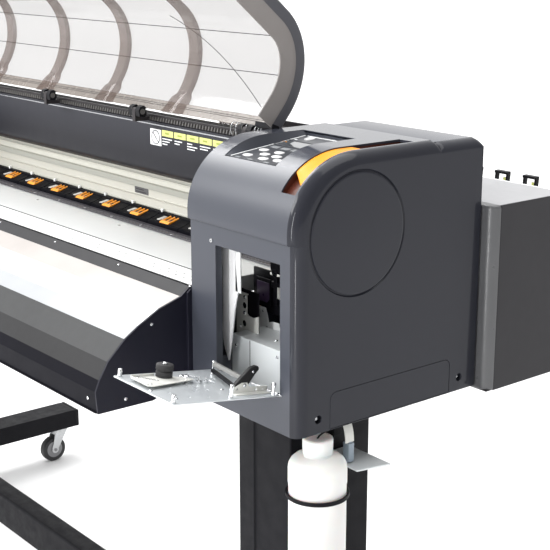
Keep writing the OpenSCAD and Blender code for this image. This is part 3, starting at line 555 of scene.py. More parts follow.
def side_ring(x, phi):
    """The side cover's outline at one step phi of its rounded edge, 90 degrees being its side."""
    k, c = 1 - math.cos(phi), math.cos(phi)
    pts = []
    for z in [0.0] + [4 + 22.4 * i for i in range(13)]:
        pts.append((FILLET * k, z + (3 * k if z == 0 else 0)))
    for dy, z in ((0, SEAM - 1.2), (0.15, SEAM), (0.75, SEAM + 0.4), (1, SEAM + 2.6)):
        pts.append((FILLET * k - LIP * c * dy, z))
    for y, z in curve(LIP * c):
        s = (CURVE_Y - y) / (CURVE_RY + LIP * c)
        t = math.atan2((z - CURVE_Z) / CURVE_RZ / CURVE_RZ, s / CURVE_RY)
        pts.append((y + FILLET * k * math.cos(t), z - FILLET * k * math.sin(t)))
    top = HEAD_H - FILLET * k
    pts += [(y, top) for y in (160, 200, 240, 270, 280)]
    for y, drop in ((284, 1.2), (287.5, 4.5), (289.5, 8), (290.5, 10), (291.5, 8.5), (294, 5.5),
                    (298, REAR_DROP + 0.2)):
        pts.append((y, top - drop * c))
    rear = 17
    cy, cz = HEAD_D - rear, HEAD_H - REAR_DROP * c - rear
    pts += [(330, HEAD_H - REAR_DROP * c - FILLET * k)]
    for y, z in arc(cy, cz, rear, 90, 0, 10):
        t = math.atan2(z - cz, y - cy)
        pts.append((y - 4 * k * math.cos(t), z - FILLET * k * math.sin(t)))
    pts += [(HEAD_D - 4 * k, z) for z in (300, 200, 100, 20)]
    pts.append((HEAD_D - 4 * k, 3 * k))
    pts += [(y, 3 * k) for y in (300, 200, 100, 30)]
    return [(x, y, z) for y, z in pts]


DISC_Y, DISC_Z, DISC_R = 116, 303, 96
PANEL_LO, PANEL_HI, PANEL_R = (64, 4.5), (325, 62), [0.5, 3, 12, 12]
SIDE_SCREWS = [(40.5, 25), (349, 25)]


def side_cover(side, node, place):
    """One moulding with a deep rounded edge and screw wells; place puts it on its end."""
    steps = 12
    rings = [side_ring(-SIDE_W, 0)]
    for i in range(steps + 1):
        phi = math.pi / 2 * i / steps
        rings.append(side_ring(-FILLET + FILLET * math.sin(phi) + (0.02 if i == 0 else 0), phi))
    cover = Shape().loft(rings).moved(place).build(side + "_side_moulding", side_grey, slot="side_grey",
                                                   replaces=node)
    groove = [(DISC_R - 2.2, -1.6), (DISC_R - 0.6, -2.2), (DISC_R + 0.9, -0.9), (DISC_R + 1.8, 1),
              (DISC_R - 4, 1)]
    rings = [[(h, DISC_Y + r * math.cos(a), DISC_Z + r * math.sin(a)) for r, h in groove] for a in turns(120)]
    cut(cover, Shape().loft(rings, closed=True).moved(place))
    if side == "right":
        lo, hi = [c - 0.8 for c in PANEL_LO], [c + 0.8 for c in PANEL_HI]
        cut(cover, Shape().extrude(rounded(lo, hi, [1, 3.5, 12.8, 12.8]), "x", -4, 5))
        panel = Shape().extrude(rounded(PANEL_LO, PANEL_HI, PANEL_R), "x", -3.5, -0.1)
        panel.build("side_access_panel", side_grey, slot="side_grey", replaces="access_panel", bevel=0.7)
        disc = Shape().lathe([(DISC_R - 2.6, -2), (DISC_R - 2.6, -0.5), (DISC_R - 3.0, 0.35),
                              (DISC_R - 4.2, 0.8),
                              (DISC_R - 6, 0.9), (1, 0.9)], (0, DISC_Y, DISC_Z), "x", segments=160)
        disc.build("right_side_disc", side_grey, slot="side_grey")
    screws = Shape()
    for y, z in SIDE_SCREWS:
        well = [(6.5, -9), (6.5, -0.8), (7.3, 0.2), (7.3, 3)]
        cut(cover, Shape().lathe(well, (0, y, z), "x").moved(place))
        screws.lathe([(4.2, -8.8), (4.2, -7.2), (3.2, -5.6), (1.9, -5.2), (1.8, -6.8), (0.01, -7)], (0, y, z),
                     "x")
    screws.moved(place).build(side + "_side_screws", chrome, slot="post_chrome")


side_cover("right", "right_side_cover", lambda v: v)
side_cover("left", "left_side_cover", lambda v: (LEFT - v[0], v[1], v[2]))

# Control panel recess in the curved top, and the amber slot beside it
REC_X0, REC_X1, REC_Y0, REC_Y1 = -231, -104, 41, 203
REC_Z0, REC_Z1 = 400, 418
SLOT_X0, SLOT_X1, SLOT_Y0, SLOT_Y1 = -56, -24, 12.5, 252
COVER_X1 = -SIDE_W
WALL = 3


def panel_z(y):
    """Height of the control panel's face at a depth."""
    return REC_Z0 + (REC_Z1 - REC_Z0) * (y - REC_Y0) / (REC_Y1 - REC_Y0)


def recess_outline(drop, grow=0.0):
    """Side view of the space over the panel, as far as above the cover."""
    y0, y1 = REC_Y0 - grow, REC_Y1 + grow
    return [(y0, panel_z(y0) - drop), (y1, panel_z(y1) - drop), (y1, 440), (y0, 440)]


def upper_cover():
    depth = WALL
    lip = [(-LIP + 2.5, SEAM + 0.6), (-LIP + 0.6, SEAM + 1.4), (-LIP, SEAM + 3.4)]
    outer = lip + curve() + [(200, HEAD_H), (NOTCH - 3, HEAD_H), (NOTCH, HEAD_H - 2.5)]
    inner = [(NOTCH, HEAD_H - depth - 2)] + curve(inset=depth)[::-1] + [(-LIP + depth, SEAM + 0.6)]
    cover = Shape().extrude(outer + inner, "x", SPAN1, COVER_X1).build(
        "upper_cover", [cover_grey], slot="cover_grey", replaces="right_upper_cover")
    tray = Shape().extrude([(REC_Y0 - 2.5, panel_z(REC_Y0) - 7), (REC_Y1 + 2.5, panel_z(REC_Y1) - 7),
                            (REC_Y1 + 2.5, HEAD_H - 1)] + [(y, curve_z(y) - 1) for y in range(198, 38, -6)],
                           "x", REC_X0 - 2.5, REC_X1 + 2.5)
    tray_piece = tray.build("panel_tray", cover_grey, slot="cover_grey")
    for target, drop in ((cover, 3.2), (tray_piece, 5.2)):
        cut(target, Shape().extrude(recess_outline(drop), "x", REC_X0, REC_X1))
    slot_void = Shape().extrude([(SLOT_Y0, 350), (SLOT_Y1, 350), (SLOT_Y1, 440), (SLOT_Y0, 440)], "x",
                                SLOT_X0, SLOT_X1)
    cut(cover, slot_void)
    round_edges(cover, 0.8)
    round_edges(tray_piece, 0.5)


upper_cover()


def inner_wall(name, x0, x1):
    """Wall on the platen side, open where the carriage passes."""
    pts = [(1, 50), (HEAD_D - 5, 50), (HEAD_D - 5, 150), (42, 150), (42, 330), (50, 349), (64, 366),
           (84, 381),
           (110, 390), (130, 392), (NOTCH + 60, 392), (NOTCH + 60, HEAD_H - 5), (CURVE_Y, HEAD_H - 4)]
    pts += [(y + 3, z - 3) for y, z in curve(n=16)[::-1][1:]] + [(-1, SEAM + 2), (1, SEAM)]
    return Shape().extrude(pts, "x", x0, x1).build(name, cover_grey, slot="cover_grey", bevel=0.6)


inner_wall("right_inner_wall", SPAN1 + 0.5, SPAN1 + 3.5)

OPEN_X0, OPEN_X1, OPEN_Z0, OPEN_Z1 = -203, -43, 57, 265


def lower_cover():
    outline = rounded((SPAN1, 0), (COVER_X1, SEAM - 0.4), [0.5, 0.5, 0.5, 0.5], 2)
    front = Shape().extrude(outline, "y", 0, WALL).build(
        "lower_cover", cover_grey, slot="cover_grey", replaces="right_lower_cover")
    cut(front, Shape().extrude(rounded((OPEN_X0, OPEN_Z0), (OPEN_X1, OPEN_Z1), 1.2, 3), "y", -2, WALL + 2))
    cut(front, Shape().lathe([(1.6, -1), (1.6, WALL + 1)], (-214, 0, 270.5), "y", segments=16))
    round_edges(front, 0.9)
    frame_bits = Shape()
    for x in (OPEN_X0 - 2.2, OPEN_X1 + 0.2):
        frame_bits.box((x, WALL, OPEN_Z0 - 2), (x + 2, 13, OPEN_Z1 + 2))
    frame_bits.box((OPEN_X0 - 2, WALL, OPEN_Z1), (OPEN_X1 + 2, 13, OPEN_Z1 + 2))
    frame_bits.box((SPAN1, WALL, 0), (SPAN1 + WALL, 90, SEAM - 0.5))
    frame_bits.box((SPAN1 + WALL, WALL, 0.2), (COVER_X1, 20, 3))
    frame_bits.build("lower_cover_returns", cover_grey, slot="cover_grey", bevel=0.5)
    screw = Shape().lathe([(3.4, 2), (3.4, -0.6), (2.8, -1.2), (1.2, -1.3), (1.1, -0.5), (0.01, -0.5)],
                          (-214, 0, 270.5), "y")
    screw.build("lower_cover_screw", zinc, slot="caster_steel")


lower_cover()


def rear_cover():
    z = HEAD_H - REAR_DROP
    outline = [(NOTCH + 1.5, z - 3), (NOTCH + 3, z - 0.8), (NOTCH + 6, z),
               (HEAD_D - 14, z)] + arc(HEAD_D - 14, z - 14, 14, 90, 0, 8)
    outline += [(HEAD_D, 40),
                (HEAD_D - 3, 40)] + arc(HEAD_D - 14, z - 14, 11, 0, 90, 8) + [(NOTCH + 1.5, z - 3.5)]
    Shape().extrude(outline, "x", SPAN1, COVER_X1).build(
        "rear_cover", cover_grey, slot="cover_grey", replaces="right_rear_cover", bevel=0.7)
    vents = Shape()
    for i in range(10):
        vents.box((SPAN1 + 45, HEAD_D - 0.4, 240 + i * 11), (SPAN1 + 185, HEAD_D + 0.5, 245 + i * 11))
    vents.build("rear_vents", black_plastic, slot="roller_black")


rear_cover()


# Amber slot: a curved lens a little below the cover, over a brown-red well; the well's brown-red is painted
# shade, showing in front of the lens's slanted end as the amber in the slot wall's shadow.
def slot_strip(shape, y0_left, y0_right, y1, depth, thick, x0=SLOT_X0 + 0.3, x1=SLOT_X1 - 0.3, steps=40):
    """A curved strip under the slot; its front end may run at a slant."""
    rings = []
    for i in range(steps + 1):
        t = i / steps
        yl, yr = y0_left + (y1 - y0_left) * t, y0_right + (y1 - y0_right) * t
        zl, zr = curve_z(yl) - depth, curve_z(yr) - depth
        rings.append([(x0, yl, zl), (x1, yr, zr), (x1, yr, zr - thick), (x0, yl, zl - thick)])
    return shape.loft(rings)


def amber_slot():
    lens = slot_strip(Shape(), 42, 24, 150, 2.2, 2.2)
    lens.build("amber_lens", amber, slot="amber", replaces="amber_window", bevel=0.4)
    # Painted shade: the brown-red well stands for the amber in shadow where the lens stops.
    well = slot_strip(Shape(), 11, 11, 256, 15, 1.5, SLOT_X0 - 1, SLOT_X1 + 1)
    for x in (SLOT_X0 - 1.5, SLOT_X1 + 0.3):
        rings = []
        for i in range(41):
            y = 11 + 245 * i / 40
            z = curve_z(y)
            rings.append([(x, y, z - 3.2), (x + 1.2, y, z - 3.2), (x + 1.2, y, z - 16), (x, y, z - 16)])
        well.loft(rings)
    well.box((SLOT_X0 - 1, 10.5, 343), (SLOT_X1 + 1, 12, 365))
    well.build("slot_shade_well", amber_shade_brown, slot="amber")


amber_slot()


def panel_at(x, y, h=0.0):
    """A place on the control panel's face, h above it."""
    t = math.atan2(REC_Z1 - REC_Z0, REC_Y1 - REC_Y0)
    return (x, y - h * math.sin(t), panel_z(y) + h * math.cos(t))


def panel_block(shape, x0, y0, x1, y1, h0, h1, slot=0, r=1.5):
    outline = rounded((x0, y0), (x1, y1), r, 4)
    return shape.loft([[panel_at(x, y, h) for x, y in outline] for h in (h0, h1)], slot)


KEY_PLACES = [(-196, 60), (-199, 95), (-174, 77), (-153, 57), (-161, 95), (-144, 76), (-122, 61)]
KEY_L, KEY_W = 20, 12


def stadium(cx, cy, length, width, n=10):
    r = width / 2
    return arc(cx + length / 2 - r, cy, r, -90, 90, n) + arc(cx - length / 2 + r, cy, r, 90, 270, n)


def control_panel():
    for i, (x, y) in enumerate(KEY_PLACES):
        rings = []
        for inset, h in ((0.2, -2.4), (0, 0.1), (0.25, 0.75), (0.9, 1.15), (2.2, 1.35), (4.5, 1.42)):
            rings.append([panel_at(u, v, h) for u, v in stadium(x, y, KEY_L - 2 * inset, KEY_W - 2 * inset)])
        name = "key_%d" % (i + 1)
        Shape().loft(rings).build(name + "_cap", key_white, name, "key_white", name)
    x, y = -191, 183
    rings = []
    for r, h in ((8.8, -2.4), (9, 0.3), (8.7, 1.1), (7.6, 1.5), (6.6, 1.2), (3, 1.0), (0.05, 1.0)):
        rings.append([panel_at(u, v, h) for u, v in arc(x, y, r, 0, 354, 59)])
    Shape().loft(rings).build("power_button_cap", key_white, "power_button", "key_white", "power_button")
    trim = Shape()
    panel_block(trim, REC_X0 + 13.2, REC_Y0 + 2, REC_X0 + 15.4, REC_Y1 - 7, 0, 0.9, r=0.4)
    panel_block(trim, REC_X0 + 22, REC_Y1 - 9.6, REC_X1 - 6, REC_Y1 - 7.4, 0, 0.9, r=0.4)
    panel_block(trim, -213, 168, -206, 171, 0, 0.5, r=0.6)
    trim.build("panel_trim", white_paint, slot="key_white", bevel=0.25)
    # Painted shade: the recess's sloping left wall takes the darker copy of the cover grey.
    bank = Shape()
    bank.loft([[(REC_X0 + 0.2, y, curve_z(y) - 0.8), (REC_X0 + 13, y, panel_z(y) + 0.1),
                (REC_X0 + 0.2, y, panel_z(y) - 0.2)]
               for y in [REC_Y0 + 0.3 + (REC_Y1 - REC_Y0 - 0.6) * k / 24 for k in range(25)]])
    bank.build("panel_bank", bank_shaded_grey, slot="cover_grey")
    tiles = Shape()
    for x, y, w, d in ((-207, 112, 19, 10), (-182, 112, 19, 10), (-157, 112, 15, 10), (-134, 112, 15, 10),
                       (-207, 42.5, 12, 4), (-176, 42.5, 12, 4), (-136, 42.5, 12, 4)):
        panel_block(tiles, x, y, x + w, y + d, 0, 0.35)
    tiles.build("panel_tiles", panel_tile, slot="key_white", bevel=0.12)
    lights = Shape()
    for x in (-218, -211, -128, -121):
        lights.loft([[panel_at(u, v, h) for u, v in arc(x, 150, r, 0, 345, 23)] for r,
                     h in ((1.5, 0), (1.5, 0.5), (0.9, 0.9))])
    lights.build("panel_lights", amber, slot="amber")
    glass = panel_block(Shape(), -214.6, 132.4, -140.4, 159.6, -0.5, 0.15, r=0.8)
    glass.build("panel_display", display_glass, slot="panel_dark", bevel=0.15)
    bezel = Shape()
    for a, b in (((-218, 129), (-137, 131.4)), ((-218, 160.6), (-137, 163)), ((-218, 129), (-215.6, 163)),
                 ((-139.4, 129), (-137, 163))):
        panel_block(bezel, *a, *b, 0, 0.9, r=0.3)
    bezel.build("panel_display_bezel", panel_dark, slot="panel_dark", bevel=0.3)


control_panel()

# ---- service plate -------------------------------------------------------------------------
HINGE_Y, HINGE_Z, PLATE_L = 1, 61, 198
PLATE_TILT = math.radians(9.3)
KNOB_X, KNOB_B = OPEN_X0 + 42, 134
PAD_X, PAD_B, PAD_H = OPEN_X1 - 33, 52, 12


def on_plate(p):
    """Plate frame to head frame: along the hinge, out along the plate, above its face."""
    x, b, h = p
    c, s = math.cos(PLATE_TILT), math.sin(PLATE_TILT)
    return (x, HINGE_Y - b * c + h * s, HINGE_Z + b * s + h * c)


def plate_piece(shape, name, mats, body="service_plate", **options):
    return shape.moved(on_plate).build(name, mats, body, **options)


def hex_nut(shape, x, b, h0, h1, r, turn=0.2, slot=0):
    ring = [(x + r * math.cos(turn + k * math.pi / 3), b + r * math.sin(turn + k * math.pi / 3))
            for k in range(6)]
    return shape.loft([[(u, v, h) for u, v in ring] for h in (h0, h1)], slot)


def pan_screw(shape, x, b, h, r=3.0, slot=0):
    """A cross-head screw with a domed head."""
    shape.lathe([(r * 0.96, -0.1), (r, 0.3), (r * 0.9, r * 0.42), (r * 0.62, r * 0.6), (r * 0.3, r * 0.62),
                 (r * 0.26, r * 0.3), (0.02, r * 0.28)], (x, b, h), "z", slot, 28)
    return shape


def service_plate():
    x0, x1 = OPEN_X0 + 1, OPEN_X1 - 1
    outline = rounded((x0, 2), (x1, PLATE_L), [0.5, 0.5, 3, 3])
    plate = Shape().extrude(outline, "z", -2, 0)
    plate = plate_piece(plate, "service_plate_sheet", plate_steel, slot="plate_steel",
                        replaces="service_plate")
    holes = Shape()
    for x, b, r in ((-172, 118, 2), (-120, 150, 2), (-96, 168, 2.4), (-64, 120, 2), (-150, 46, 2.2),
                    (-128, 24, 2.2),
                    (-186, 70, 1.6), (-100, 96, 2), (-70, 150, 1.6), (-186, 176, 1.6)):
        holes.lathe([(r, -4), (r, 2)], (x, b, 0), "z", 0, 24)
    holes.loft([[(u, v, h) for u, v in stadium(-140, 60, 16, 5)] for h in (-4, 2)])
    drill(plate, holes.moved(on_plate), 0.5)
    rod = Shape()
    for k in range(5):
        a = x0 + 4 + k * (x1 - x0 - 24) / 4
        rod.lathe([(2.4, 0), (3, 0.5), (3, 15.5), (2.4, 16)], (a, 0, 0), "x", 0, 32)
        rod.box((a + 1, -0.5, -2), (a + 15, 4, 0.1))
    rod.lathe([(1.5, 0), (1.5, OPEN_X1 - OPEN_X0 + 9)], (OPEN_X0 - 4.5, 0, 0), "x", 0, 24)
    plate_piece(rod, "service_plate_hinge", zinc, slot="plate_steel")


def plate_posts():
    posts = Shape()
    for x, b, h in ((7, 190, 12), (153, 193, 12), (151, 88, 20), (156, 12, 20), (28, 30, 22)):
        centre = (OPEN_X0 + x, b, 0)
        posts.lathe([(3.5, 0), (3.7, 0.4), (3.7, 1.2), (3.3, 1.8), (3.3, 3.4), (2.9, 3.8), (2.9, h - 8),
                     (3.4, h - 7.5),
                     (3.5, h - 2), (3.1, h - 1), (3.3, h - 0.6), (2.6, h), (1.3, h), (1.2, h - 1),
                     (0.02, h - 1)], centre, "z")
    for x, b, h in ((-135, 86, 10), (-133, 75, 8)):
        hex_nut(posts, x, b, 0, 3.4, 4.4)
        posts.lathe([(2.2, 3), (2.2, h - 0.6), (1.7, h), (0.02, h)], (x, b, 0), "z")
    plate_piece(posts, "plate_posts_turned", chrome, slot="post_chrome", replaces="plate_posts", bevel=0.2,
                segments=2)
    screws = Shape()
    for x, b, r in ((-172, 92, 5.2), (-113, 189, 2.8), (-137, 108, 2.8), (-66, 176, 2.6), (-110, 40, 2.8),
                    (-92, 74, 2.6)):
        pan_screw(screws, x, b, 0, r)
    screws.lathe([(5.6, 0), (5.6, 2.6), (4.8, 3.2), (4.4, 8), (3.2, 9), (0.02, 9)], (-150, 99, 0), "z")
    plate_piece(screws, "plate_screws", chrome, slot="post_chrome")
    wires = Shape()
    wires.tube([(-150, 99, 8), (-146, 96, 8.6), (-139, 90, 8.2), (-135, 86, 7.6)], 0.8)
    coil = [(-169 + 0.55 * k, 176 - 0.35 * k + 2.1 * math.cos(k * 0.8), 4.5 + 2.1 * math.sin(k * 0.8))
            for k in range(56)]
    wires.tube([(-171, 180, 4)] + coil + [(-137, 156, 4.4)], 0.5, 0, 8)
    plate_piece(wires, "plate_spring", shaft_steel, slot="post_chrome")


def thumb_knob():
    knob = Shape()
    teeth = 44
    for z0, z1, r in ((5.5, 14.5, 13), (16, 25.5, 13.5)):
        rings = []
        for radius, h, groove in ((r - 1.3, z0, 0), (r, z0 + 0.9, 0.55), (r, z1 - 0.9, 0.55),
                                  (r - 1.3, z1, 0)):
            ring = []
            for k, a in enumerate(turns(teeth * 4)):
                q = radius - (groove if k % 4 in (0, 1) else 0)
                ring.append((KNOB_X + q * math.cos(a), KNOB_B + q * math.sin(a), h))
            rings.append(ring)
        knob.loft(rings)
    knob.lathe([(10.8, 14.3), (10.8, 16.2)], (KNOB_X, KNOB_B, 0), "z")
    plate_piece(knob, "thumb_knob_discs", rubber_dark, "thumb_knob", slot="knob_rubber",
                replaces="thumb_knob", angle=50)
    pin = Shape().lathe([(4.6, 0), (4.6, 3.6), (2.5, 3.7), (2.5, 25.6), (5.0, 25.7), (5.0, 26.9), (3.3, 27.1),
                         (3.3, 28.4),
                         (2.6, 29), (0.02, 29)], (KNOB_X, KNOB_B, 0), "z")
    plate_piece(pin, "thumb_knob_pin", chrome, slot="post_chrome", bevel=0.2, segments=2)


def swing_arm():
    outline = [(-8, 8), (-10, 14), (-9, 54), (40, 55), (44, 48), (24, -40), (14, -40), (-2, -10)]
    pts = [(KNOB_X + x, KNOB_B + b) for x, b in outline]
    arm = Shape().extrude(pts, "z", 4, 5.4)
    arm.extrude([(KNOB_X - 10, KNOB_B + 12), (KNOB_X - 8.6, KNOB_B + 12), (KNOB_X - 7.6, KNOB_B + 54),
                 (KNOB_X - 9, KNOB_B + 54)],
                "z", 5, 9)
    arm.extrude([(KNOB_X - 7, KNOB_B + 53.6), (KNOB_X + 38, KNOB_B + 54.6), (KNOB_X + 38, KNOB_B + 56),
                 (KNOB_X - 7, KNOB_B + 55)],
                "z", 4.4, 8)
    plate_piece(arm, "swing_arm_sheet", sheet_light, "swing_arm", slot="arm_light", replaces="swing_arm",
                bevel=0.35)
    rivets = Shape()
    for x, b in ((14, -32), (34, 46), (-2, 46)):
        rivets.lathe([(2.4, 5.2), (2.3, 6.1), (1.4, 6.7), (0.02, 6.8)], (KNOB_X + x, KNOB_B + b, 0), "z", 0,
                     24)
    plate_piece(rivets, "swing_arm_rivets", chrome, "swing_arm", slot="post_chrome")


def pad_and_bracket():
    bracket = Shape()
    bx = PAD_X + 6
    profile = [(PAD_B + 22, 0), (PAD_B + 22, 7), (PAD_B + 4, 16), (PAD_B - 6, 16), (PAD_B - 10, 9),
               (PAD_B - 46, 9), (PAD_B - 46, 0)]
    bracket.extrude(profile, "x", bx, bx + 1.6)
    bracket.extrude([(bx, PAD_B + 22), (bx + 13, PAD_B + 22), (bx + 13, PAD_B - 44), (bx, PAD_B - 44)], "z",
                    0, 1.4)
    piece = plate_piece(bracket, "pad_bracket", sheet_light, slot="arm_light")
    holes = Shape()
    for b, h, r in ((PAD_B + 12, 6, 1.8), (PAD_B - 24, 4.6, 2), (PAD_B - 38, 4.6, 1.4)):
        holes.lathe([(r, -2), (r, 4)], (bx, b, h), "x", 0, 20)
    drill(piece, holes.moved(on_plate), 0.35)
    bars = Shape()
    bars.loft([[(x + dx, b + db, h + dh) for dx, db,
                dh in ((0, -3.2, -3), (0, 3.2, -3), (0, 3.2, 3), (0, -3.2, 3))]
               for x, b, h in ((OPEN_X0 + 28, 30, 17), (PAD_X + 2, 43, 17))])
    plate_piece(bars, "tie_bar_upper", tie_grey, slot="station_grey", bevel=0.7)
    low = Shape()
    low.loft([[(x + dx, b + db, h + dh) for dx, db,
               dh in ((0, -3, -2.6), (0, 3, -2.6), (0, 3, 2.6), (0, -3, 2.6))]
              for x, b, h in ((OPEN_X0 + 32, 35, 8), (PAD_X - 4, 62, 8))])
    plate_piece(low, "tie_bar_lower", black_plastic, slot="pad_black", bevel=0.7)
    pad = Shape()
    pts = [(PAD_B + 17, 7.5), (PAD_B + 6, 5), (PAD_B - 8, 9), (PAD_B - 20, 26), (PAD_B - 27.5, 35),
           (PAD_B - 26, 39.5), (PAD_B - 21, 40.5),
           (PAD_B - 11, 38), (PAD_B + 5, 23), (PAD_B + 16, 12)]
    pad.extrude(pts, "x", PAD_X - 2, PAD_X + 5.8)
    pad.lathe([(1.5, 0), (1.5, 13.5)], (PAD_X - 3, PAD_B, PAD_H), "x", 0, 20)
    plate_piece(pad, "pad_lever_moulding", black_rubber, "pad_lever", slot="pad_black", replaces="pad_lever",
                bevel=1.6, segments=4)
    cheek = Shape().lathe([(3.4, 0), (3.4, 1.1), (2.6, 1.6), (0.02, 1.7)], (PAD_X + 8.5, PAD_B, PAD_H), "x",
                          0, 24)
    cheek.lathe([(2.2, 0), (2.2, 1.1), (0.02, 1.4)], (PAD_X + 5, PAD_B - 16, 32), "x", 0, 20)
    plate_piece(cheek, "pad_lever_pins", chrome, "pad_lever", slot="post_chrome")


service_plate()
plate_posts()
thumb_knob()
swing_arm()
pad_and_bracket()


# ---- inside the service opening --------------------------------------------------------------
def opening_parts():
    band = Shape()
    edges = [(258, -225, -191), (252, -225, -190.6), (219, -223.6, -187.5), (189, -223.2, -183.6),
             (157, -222.7, -192), (130, -224, -196.5),
             (118, -225, -198.6), (102, -223.4, -201.6), (91, -221.7, -203.8), (84, -218.8, -205),
             (68, -210.4, -208.8)]
    for (za, la, ra), (zb, lb, rb) in zip(edges, edges[1:]):
        band.loft([[(left, 29, z), (right, 29, z), (right, 31, z), (left, 31, z)]
                   for z, left, right in ((za, la, ra), (zb - 0.02, lb, rb))])
    band.build("flat_cable", white_band, slot="platen_white", angle=60)
    guide = Shape().box((-190, 29, 188), (-177, 31, 262))
    guide.box((-189, 31, 186), (-178, 32.2, 262))
    guide.build("cable_guide", white_paint, slot="platen_white", bevel=0.4)
    bracket = Shape().extrude([(-262, 60), (-196.5, 60), (-196.4, 134), (-210.6, 129), (-222.8, 130),
                               (-227, 134), (-227, 166), (-262, 166)],
                              "y", 80, 82)
    bracket.box((-262, 80, 164), (-227, 96, 166))
    piece = bracket.build("inner_bracket", sheet_light, slot="station_grey")
    holes = Shape()
    for x, z, r in ((-234, 145.5, 5.5), (-234.5, 114.4, 5.5), (-206, 92, 3)):
        holes.lathe([(r, -4), (r, 4)], (x, 81, z), "y", 0, 32)
    drill(piece, holes, 0.5)
    dark = Shape().box((-262, 84, 56), (-200, 86, 172))
    dark.box((-262, 12, 60), (-252, 78, 262))
    dark.build("inner_shadow_plates", black_plastic, slot="roller_black", bevel=0.8)
    screws = Shape()
    for x, z, r in ((-231.5, 160, 3.4), (-232, 133.5, 3.4), (-243, 108, 2.4), (-208, 74, 2.4)):
        screws.lathe([(r, 0), (r, -1), (r * 0.7, -2), (r * 0.3, -2.1), (0.3, -1.4), (0.02, -1.4)], (x, 80, z),
                     "y", 0, 24)
    screws.build("inner_bracket_screws", chrome, slot="post_chrome")
    comb = Shape()
    pts = [(-243, 97), (-243, 137), (-224, 137), (-219, 124), (-216, 113), (-206, 116.5), (-188, 117.6),
           (-188, 111), (-180, 111), (-180, 116),
           (-172, 116), (-172, 108), (-118, 106), (-60, 106), (-60, 97)]
    comb.extrude(pts, "y", 117, 118.6)
    piece = comb.build("notched_plate", white_paint, slot="platen_white")
    holes = Shape()
    for x, z, r in ((-232, 129, 1.8), (-221, 103, 2.6), (-213, 103, 1.6), (-130, 101, 2)):
        holes.lathe([(r, -3), (r, 4)], (x, 117, z), "y", 0, 20)
    drill(piece, holes, 0.4)


def pump_box():
    node = mm_box("cap_station")
    x0, y0, top = node[0].x, node[0].y, 105
    box = Shape()
    box.extrude([(x0, 3), (x0 + 46.4, 3), (x0 + 46.4, top), (x0, top)], "y", y0, y0 + 2)
    box.extrude([(x0 + 48, 3), (-42, 3), (-42, top), (x0 + 48, top)], "y", y0, y0 + 2)
    box.box((x0, y0 + 1, top - 2), (-42, 116, top))
    box.box((x0, y0 + 1, 3), (x0 + 2, 116, top - 1))
    box.box((-44, y0 + 1, 3), (-42, 116, top - 1))
    box.box((x0 + 3, y0 + 3, 4), (-45, 115, 40))
    groove = Shape().box((x0 + 46, y0 + 0.3, 3.5), (x0 + 48.4, y0 + 1.8, top - 1.5))
    groove.build("pump_box_groove", roller_black, slot="roller_black", bevel=0.2)
    box.build("pump_box", station_grey, slot="station_grey", replaces="cap_station", bevel=0.8)
    screws = Shape()
    for x, z in ((-110, 94), (x0 + 12, 88), (-70, 60)):
        screws.lathe([(3, 0), (3, -0.8), (2.2, -1.7), (0.9, -1.8), (0.8, -1.2), (0.02, -1.2)], (x, y0, z),
                     "y", 0, 24)
    for x, y in ((-150, 80), (-78, 70)):
        pan_screw(screws, x, y, top, 3.2)
    screws.build("pump_box_screws", chrome, slot="post_chrome")
    block = Shape().box((-180, 128, 48), (-60, 228, 149))
    block.box((-180, 119.4, 60), (-60, 128.4, 104))
    block.build("capping_block", black_plastic, slot="roller_black", bevel=1.2)
    caps = Shape()
    for s in (-1, 1):
        cx = -125 + 13 + s * 19
        caps.box((cx - 17.5, 128, 149), (cx + 17.5, 194, 176))
        for a, b in (((cx - 17.5, 128), (cx + 17.5, 132)), ((cx - 17.5, 190), (cx + 17.5, 194)),
                     ((cx - 17.5, 131), (cx - 13, 191)),
                     ((cx + 13, 131), (cx + 17.5, 191))):
            caps.box((*a, 175), (*b, 186))
    caps.build("capping_lips", black_rubber, slot="knob_rubber", bevel=0.8)


def carriage_detail():
    station = Shape().box((-262, 122, 128), (-168, 126, 200))
    station.box((-252, 119, 140), (-214, 122.2, 186))
    station.extrude([(119, 176), (119, 184), (126, 188), (126, 170)], "x", -212, -70)
    station.box((-204, 118, 146), (-196, 126, 198))
    station.build("wiper_mouldings", black_plastic, slot="roller_black", bevel=0.7)
    plate = Shape().extrude([(-248, 146), (-222, 146), (-216, 152), (-216, 180), (-248, 180)], "y", 118, 119)
    plate.build("wiper_plate", purple_dark, slot="roller_black", bevel=0.3)
    fins = Shape()
    for i in range(6):
        fins.extrude([(117, 160), (117, 178), (122, 178), (122, 156)], "x", -193 + 3.2 * i, -191.8 + 3.2 * i)
    fins.build("wiper_fins", sheet_light, slot="arm_light")
    head = Shape().box((-186, 102, 206), (-64, 105, 262))
    head.extrude([(95, 214), (95, 226), (104, 232), (104, 206)], "x", -184, -66)
    head.box((-184, 100, 240), (-66, 103, 246))
    head.loft([[(x, 98, z - 3), (x, 100.5, z - 3), (x, 100.5, z + 3), (x, 98, z + 3)] for x,
               z in ((-186, 226), (-70, 219))])
    for x in (-172, -100):
        head.lathe([(7, 0), (7, 6), (5, 8), (0.02, 8)], (x, 94, 210), "y", 0, 32)
    head.build("carriage_front_mouldings", black_plastic, "carriage", slot="carriage_black", bevel=0.7)
    clips = Shape()
    clips.extrude([(-66, 232), (-78, 230), (-90, 222), (-96, 212), (-86, 214), (-74, 220), (-66, 220)], "y",
                  92, 95)
    clips.box((-184, 94, 206), (-160, 96, 210))
    clips.build("carriage_clips", sheet_light, "carriage", slot="arm_light", bevel=0.8)


opening_parts()
pump_box()
carriage_detail()


# ---- platen, apron and end plates --------------------------------------------------------------

